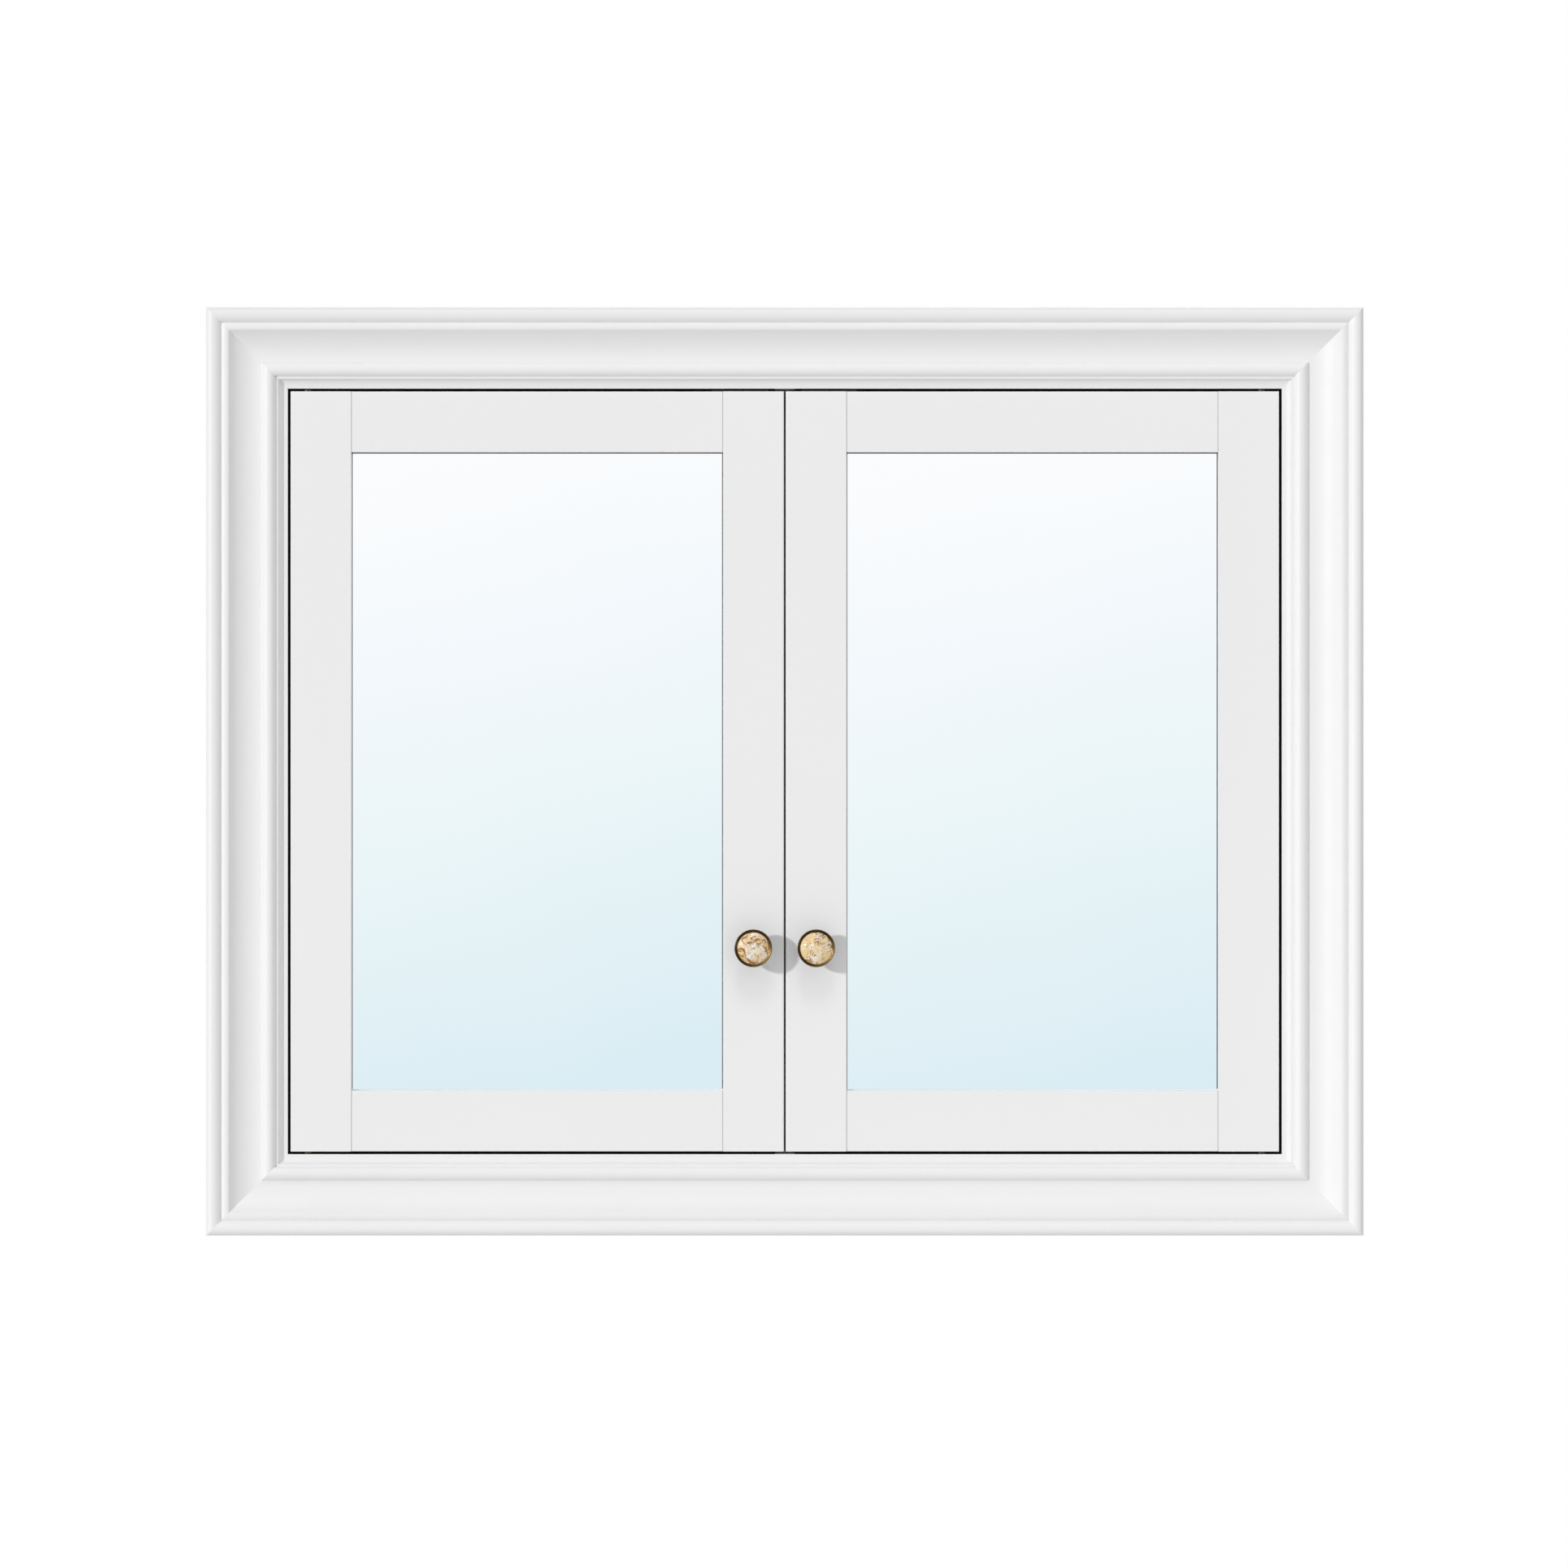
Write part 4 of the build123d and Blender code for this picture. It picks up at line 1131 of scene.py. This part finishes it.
@dataclass
class Door:
    """One door: its painted frame, mirror, backing, hardware and knob."""

    palette: Palette
    side: Side
    arris: float = 0.8 * MM
    bead: float = 0.9 * MM
    hairline: float = 0.3 * MM

    def node(self, part: str) -> str:
        """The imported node's name for a part of this door."""
        return f"{self.side.word}_{part}"

    def mirror_plate(self) -> None:
        """The glass as a plate with ground arrises: face, two ends of each edge, and back."""
        low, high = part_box(self.node("mirror"))
        insets = np.array([self.arris, 0.0, 0.0, self.arris])
        depths = np.array([low.y, low.y + self.arris, high.y - self.arris, high.y])
        points = rectangle_rings(low, high, insets, depths)
        piece = make_piece(self.node("mirror_plate"), points, tube_faces(len(insets), 4))
        glass = MirrorWithPaintedReflection(self.node("silvered_mirror"), Pane(low, high)).material()
        fit_piece(piece, self.side.door, "mirror_glass", glass, self.node("mirror"))

    def opening(self) -> Pane:
        """The sight opening, on the glass."""
        stiles = sorted((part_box(self.node(part)) for part in ("hinge_stile", "meeting_stile")),
                        key=lambda box: box[0].x)
        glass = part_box(self.node("mirror"))[0].y
        low = (stiles[0][1].x, glass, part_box(self.node("bottom_rail"))[1].z)
        return Pane(low, (stiles[1][0].x, glass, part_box(self.node("top_rail"))[0].z))

    def seal(self) -> None:
        """A fine bead of sealant in the corner between the glass and the frame.

        Its section is a hollow quarter circle, carried round the sight opening with
        mitred corners: inset r (1 - sin a) and height r (1 - cos a) off the glass.
        """
        sight = self.opening()
        angle = np.linspace(0, math.pi / 2, 6)
        insets = np.concatenate((self.bead * (1 - np.sin(angle)), [0.0]))
        heights = np.concatenate((self.bead * (1 - np.cos(angle)), [0.0]))
        points = rectangle_rings(sight.low, sight.high, insets, sight.low[1] - heights)
        faces = grid_faces(len(insets), 4, wrap_rows=True, wrap_cols=True)
        piece = make_piece(self.node("glass_seal"), points, faces)
        # The sealant's tone by side is painted shade and light.
        sealant = Sealant(self.node("sealant_painted_shade"), sight).material()
        fit_piece(piece, self.side.door, "clear_rubber", sealant)

    def build(self) -> None:
        """Dresses the door's nodes and makes its finer pieces."""
        p = self.palette
        sight = self.opening()
        joints = (sight.low[0] + self.hairline, sight.high[0] - self.hairline)
        lacquer = SatinLacquer(self.node("door_lacquer"), joints).material()
        dress(lacquer, *(self.node(part) for part in (
            "hinge_stile", "meeting_stile", "top_rail", "bottom_rail")))
        dress(p.hardboard, self.node("mirror_backing"))
        dress(p.zinc, *(self.node(part) for part in (
            "mirror_clips", "upper_door_leaf", "lower_door_leaf", "strike_plate", "knob_screw")))
        dress(p.rubber, self.node("bumpers"))
        self.mirror_plate()
        self.seal()
        Screws(p, self.node("clip_screws"), self.side.door, countersunk=False).build()
        Screws(p, self.node("door_screws"), self.side.door).build()
        Knob(p, self.side).build()


@dataclass
class Box:
    """The box behind the wall: panels, shelves, pins, dowels and back screws."""

    palette: Palette

    def build(self) -> None:
        """Dresses the box's nodes and makes its screws."""
        p = self.palette
        dress(p.board, "divider_panel", "back_panel")
        dress(p.front_board, "side_panel_left", "side_panel_right", "top_panel", "bottom_panel")
        dress(p.beech, "dowels", "mitre_keys")
        dress(p.glass, *(f"shelf_{side.word}_{level}" for side in Side for level in ("lower", "upper")))
        dress(p.nickel, "shelf_pins")
        Screws(p, "back_panel_screws", "cabinet").build()


@dataclass
class Hardware:
    """Pivot leaves, washers and catches on the fixed side."""

    palette: Palette

    def build(self) -> None:
        """Dresses the fixed hardware and makes its screws."""
        p = self.palette
        dress(p.zinc, *(f"{side.word}_{level}_pivot_leaf" for side in Side for level in ("upper", "lower")))
        dress(p.brass, "hinge_washers")
        dress(p.plastic, "left_catch", "right_catch")
        dress(p.ferrite, "catch_magnets")
        Screws(p, "fixed_screws", "cabinet").build()


# Studio


@dataclass(frozen=True)
class Sun:
    """A far lamp: where it stands as seen from the cabinet, its softness and its share.

    The share is the light that it gives to a surface that faces it, where one is the
    level at which a colour renders as it is written.
    """

    name: str
    azimuth: float
    elevation: float
    softness: float
    share: float


@dataclass
class Studio:
    """Floor, lamps, world and camera."""

    floor_drop: float = 1.45
    floor_size: float = 8.0
    ambient: float = 0.46
    image_size: float = 1932.0
    pixel: float = 0.667 * MM
    centre_px: tuple[float, float] = (967.0, 950.5)
    distance: float = 5.0
    sensor: float = 36.0
    face_depth: float = -0.02
    suns: tuple[Sun, ...] = (
        Sun("key", -45.0, 11.0, 4.0, 0.48),
        Sun("top", 0.0, 55.0, 16.0, 0.14),
        Sun("fill", 50.0, 10.0, 80.0, 0.09),
        Sun("rear", 160.0, 30.0, 40.0, 0.3),
    )

    def camera(self) -> None:
        """A straight-on camera whose picture has the photograph's framing."""
        data = bpy.data.cameras.new("camera")
        data.sensor_width = self.sensor
        data.lens = self.sensor * self.distance / (self.image_size * self.pixel)
        camera = bpy.data.objects.new("camera", data)
        middle = self.image_size / 2
        camera.location = (
            (middle - self.centre_px[0]) * self.pixel,
            self.face_depth - self.distance,
            (self.centre_px[1] - middle) * self.pixel,
        )
        camera.rotation_euler = (math.pi / 2, 0.0, 0.0)
        bpy.context.scene.collection.objects.link(camera)
        bpy.context.scene.camera = camera

    def lamp(self, sun: Sun) -> None:
        """Hangs one far lamp; azimuth 0 is straight in front and 90 to the right."""
        data = bpy.data.lights.new(sun.name, "SUN")
        data.energy = sun.share * math.pi
        data.angle = math.radians(sun.softness)
        lamp = bpy.data.objects.new(sun.name, data)
        lamp.rotation_euler = (math.radians(90.0 - sun.elevation), 0.0, math.radians(sun.azimuth))
        bpy.context.scene.collection.objects.link(lamp)

    def world(self) -> None:
        """A white backdrop that is seen in full and lights the object softly."""
        world = bpy.data.worlds.new("studio")
        g = Graph(world)
        lit, seen = g.tree.nodes["Background"], g.add("ShaderNodeBackground")
        for light, strength in ((lit, self.ambient), (seen, 1.0)):
            g.feed(light.inputs["Color"], WHITE)
            g.feed(light.inputs["Strength"], strength)
        mix = g.add("ShaderNodeMixShader", {0: g.seen_directly(), 1: lit.outputs[0], 2: seen.outputs[0]})
        g.feed(g.tree.nodes["World Output"].inputs["Surface"], mix.outputs[0])
        bpy.context.scene.world = world

    def floor(self) -> None:
        """A flat square under the cabinet."""
        half = self.floor_size / 2
        corners = [(-half, -half), (half, -half), (half, half), (-half, half)]
        mesh = bpy.data.meshes.new("floor")
        mesh.from_pydata([(x, y, -self.floor_drop) for x, y in corners], [], [(0, 1, 2, 3)])
        piece = bpy.data.objects.new("floor", mesh)
        bpy.context.scene.collection.objects.link(piece)
        mesh.materials.append(PaleFloor().material())

    def build(self) -> None:
        """Sets up everything round the cabinet."""
        self.camera()
        self.world()
        self.floor()
        for sun in self.suns:
            self.lamp(sun)
        bpy.context.scene.view_settings.view_transform = "Standard"


def main() -> None:
    """Builds each sub-assembly in order, then the studio."""
    logging.basicConfig(level=logging.INFO, format="%(name)s: %(message)s")
    palette = Palette()
    MouldedFrame(palette).build()
    Box(palette).build()
    Hardware(palette).build()
    for side in Side:
        Door(palette, side).build()
    Studio().build()


if __name__ == "__main__":
    main()
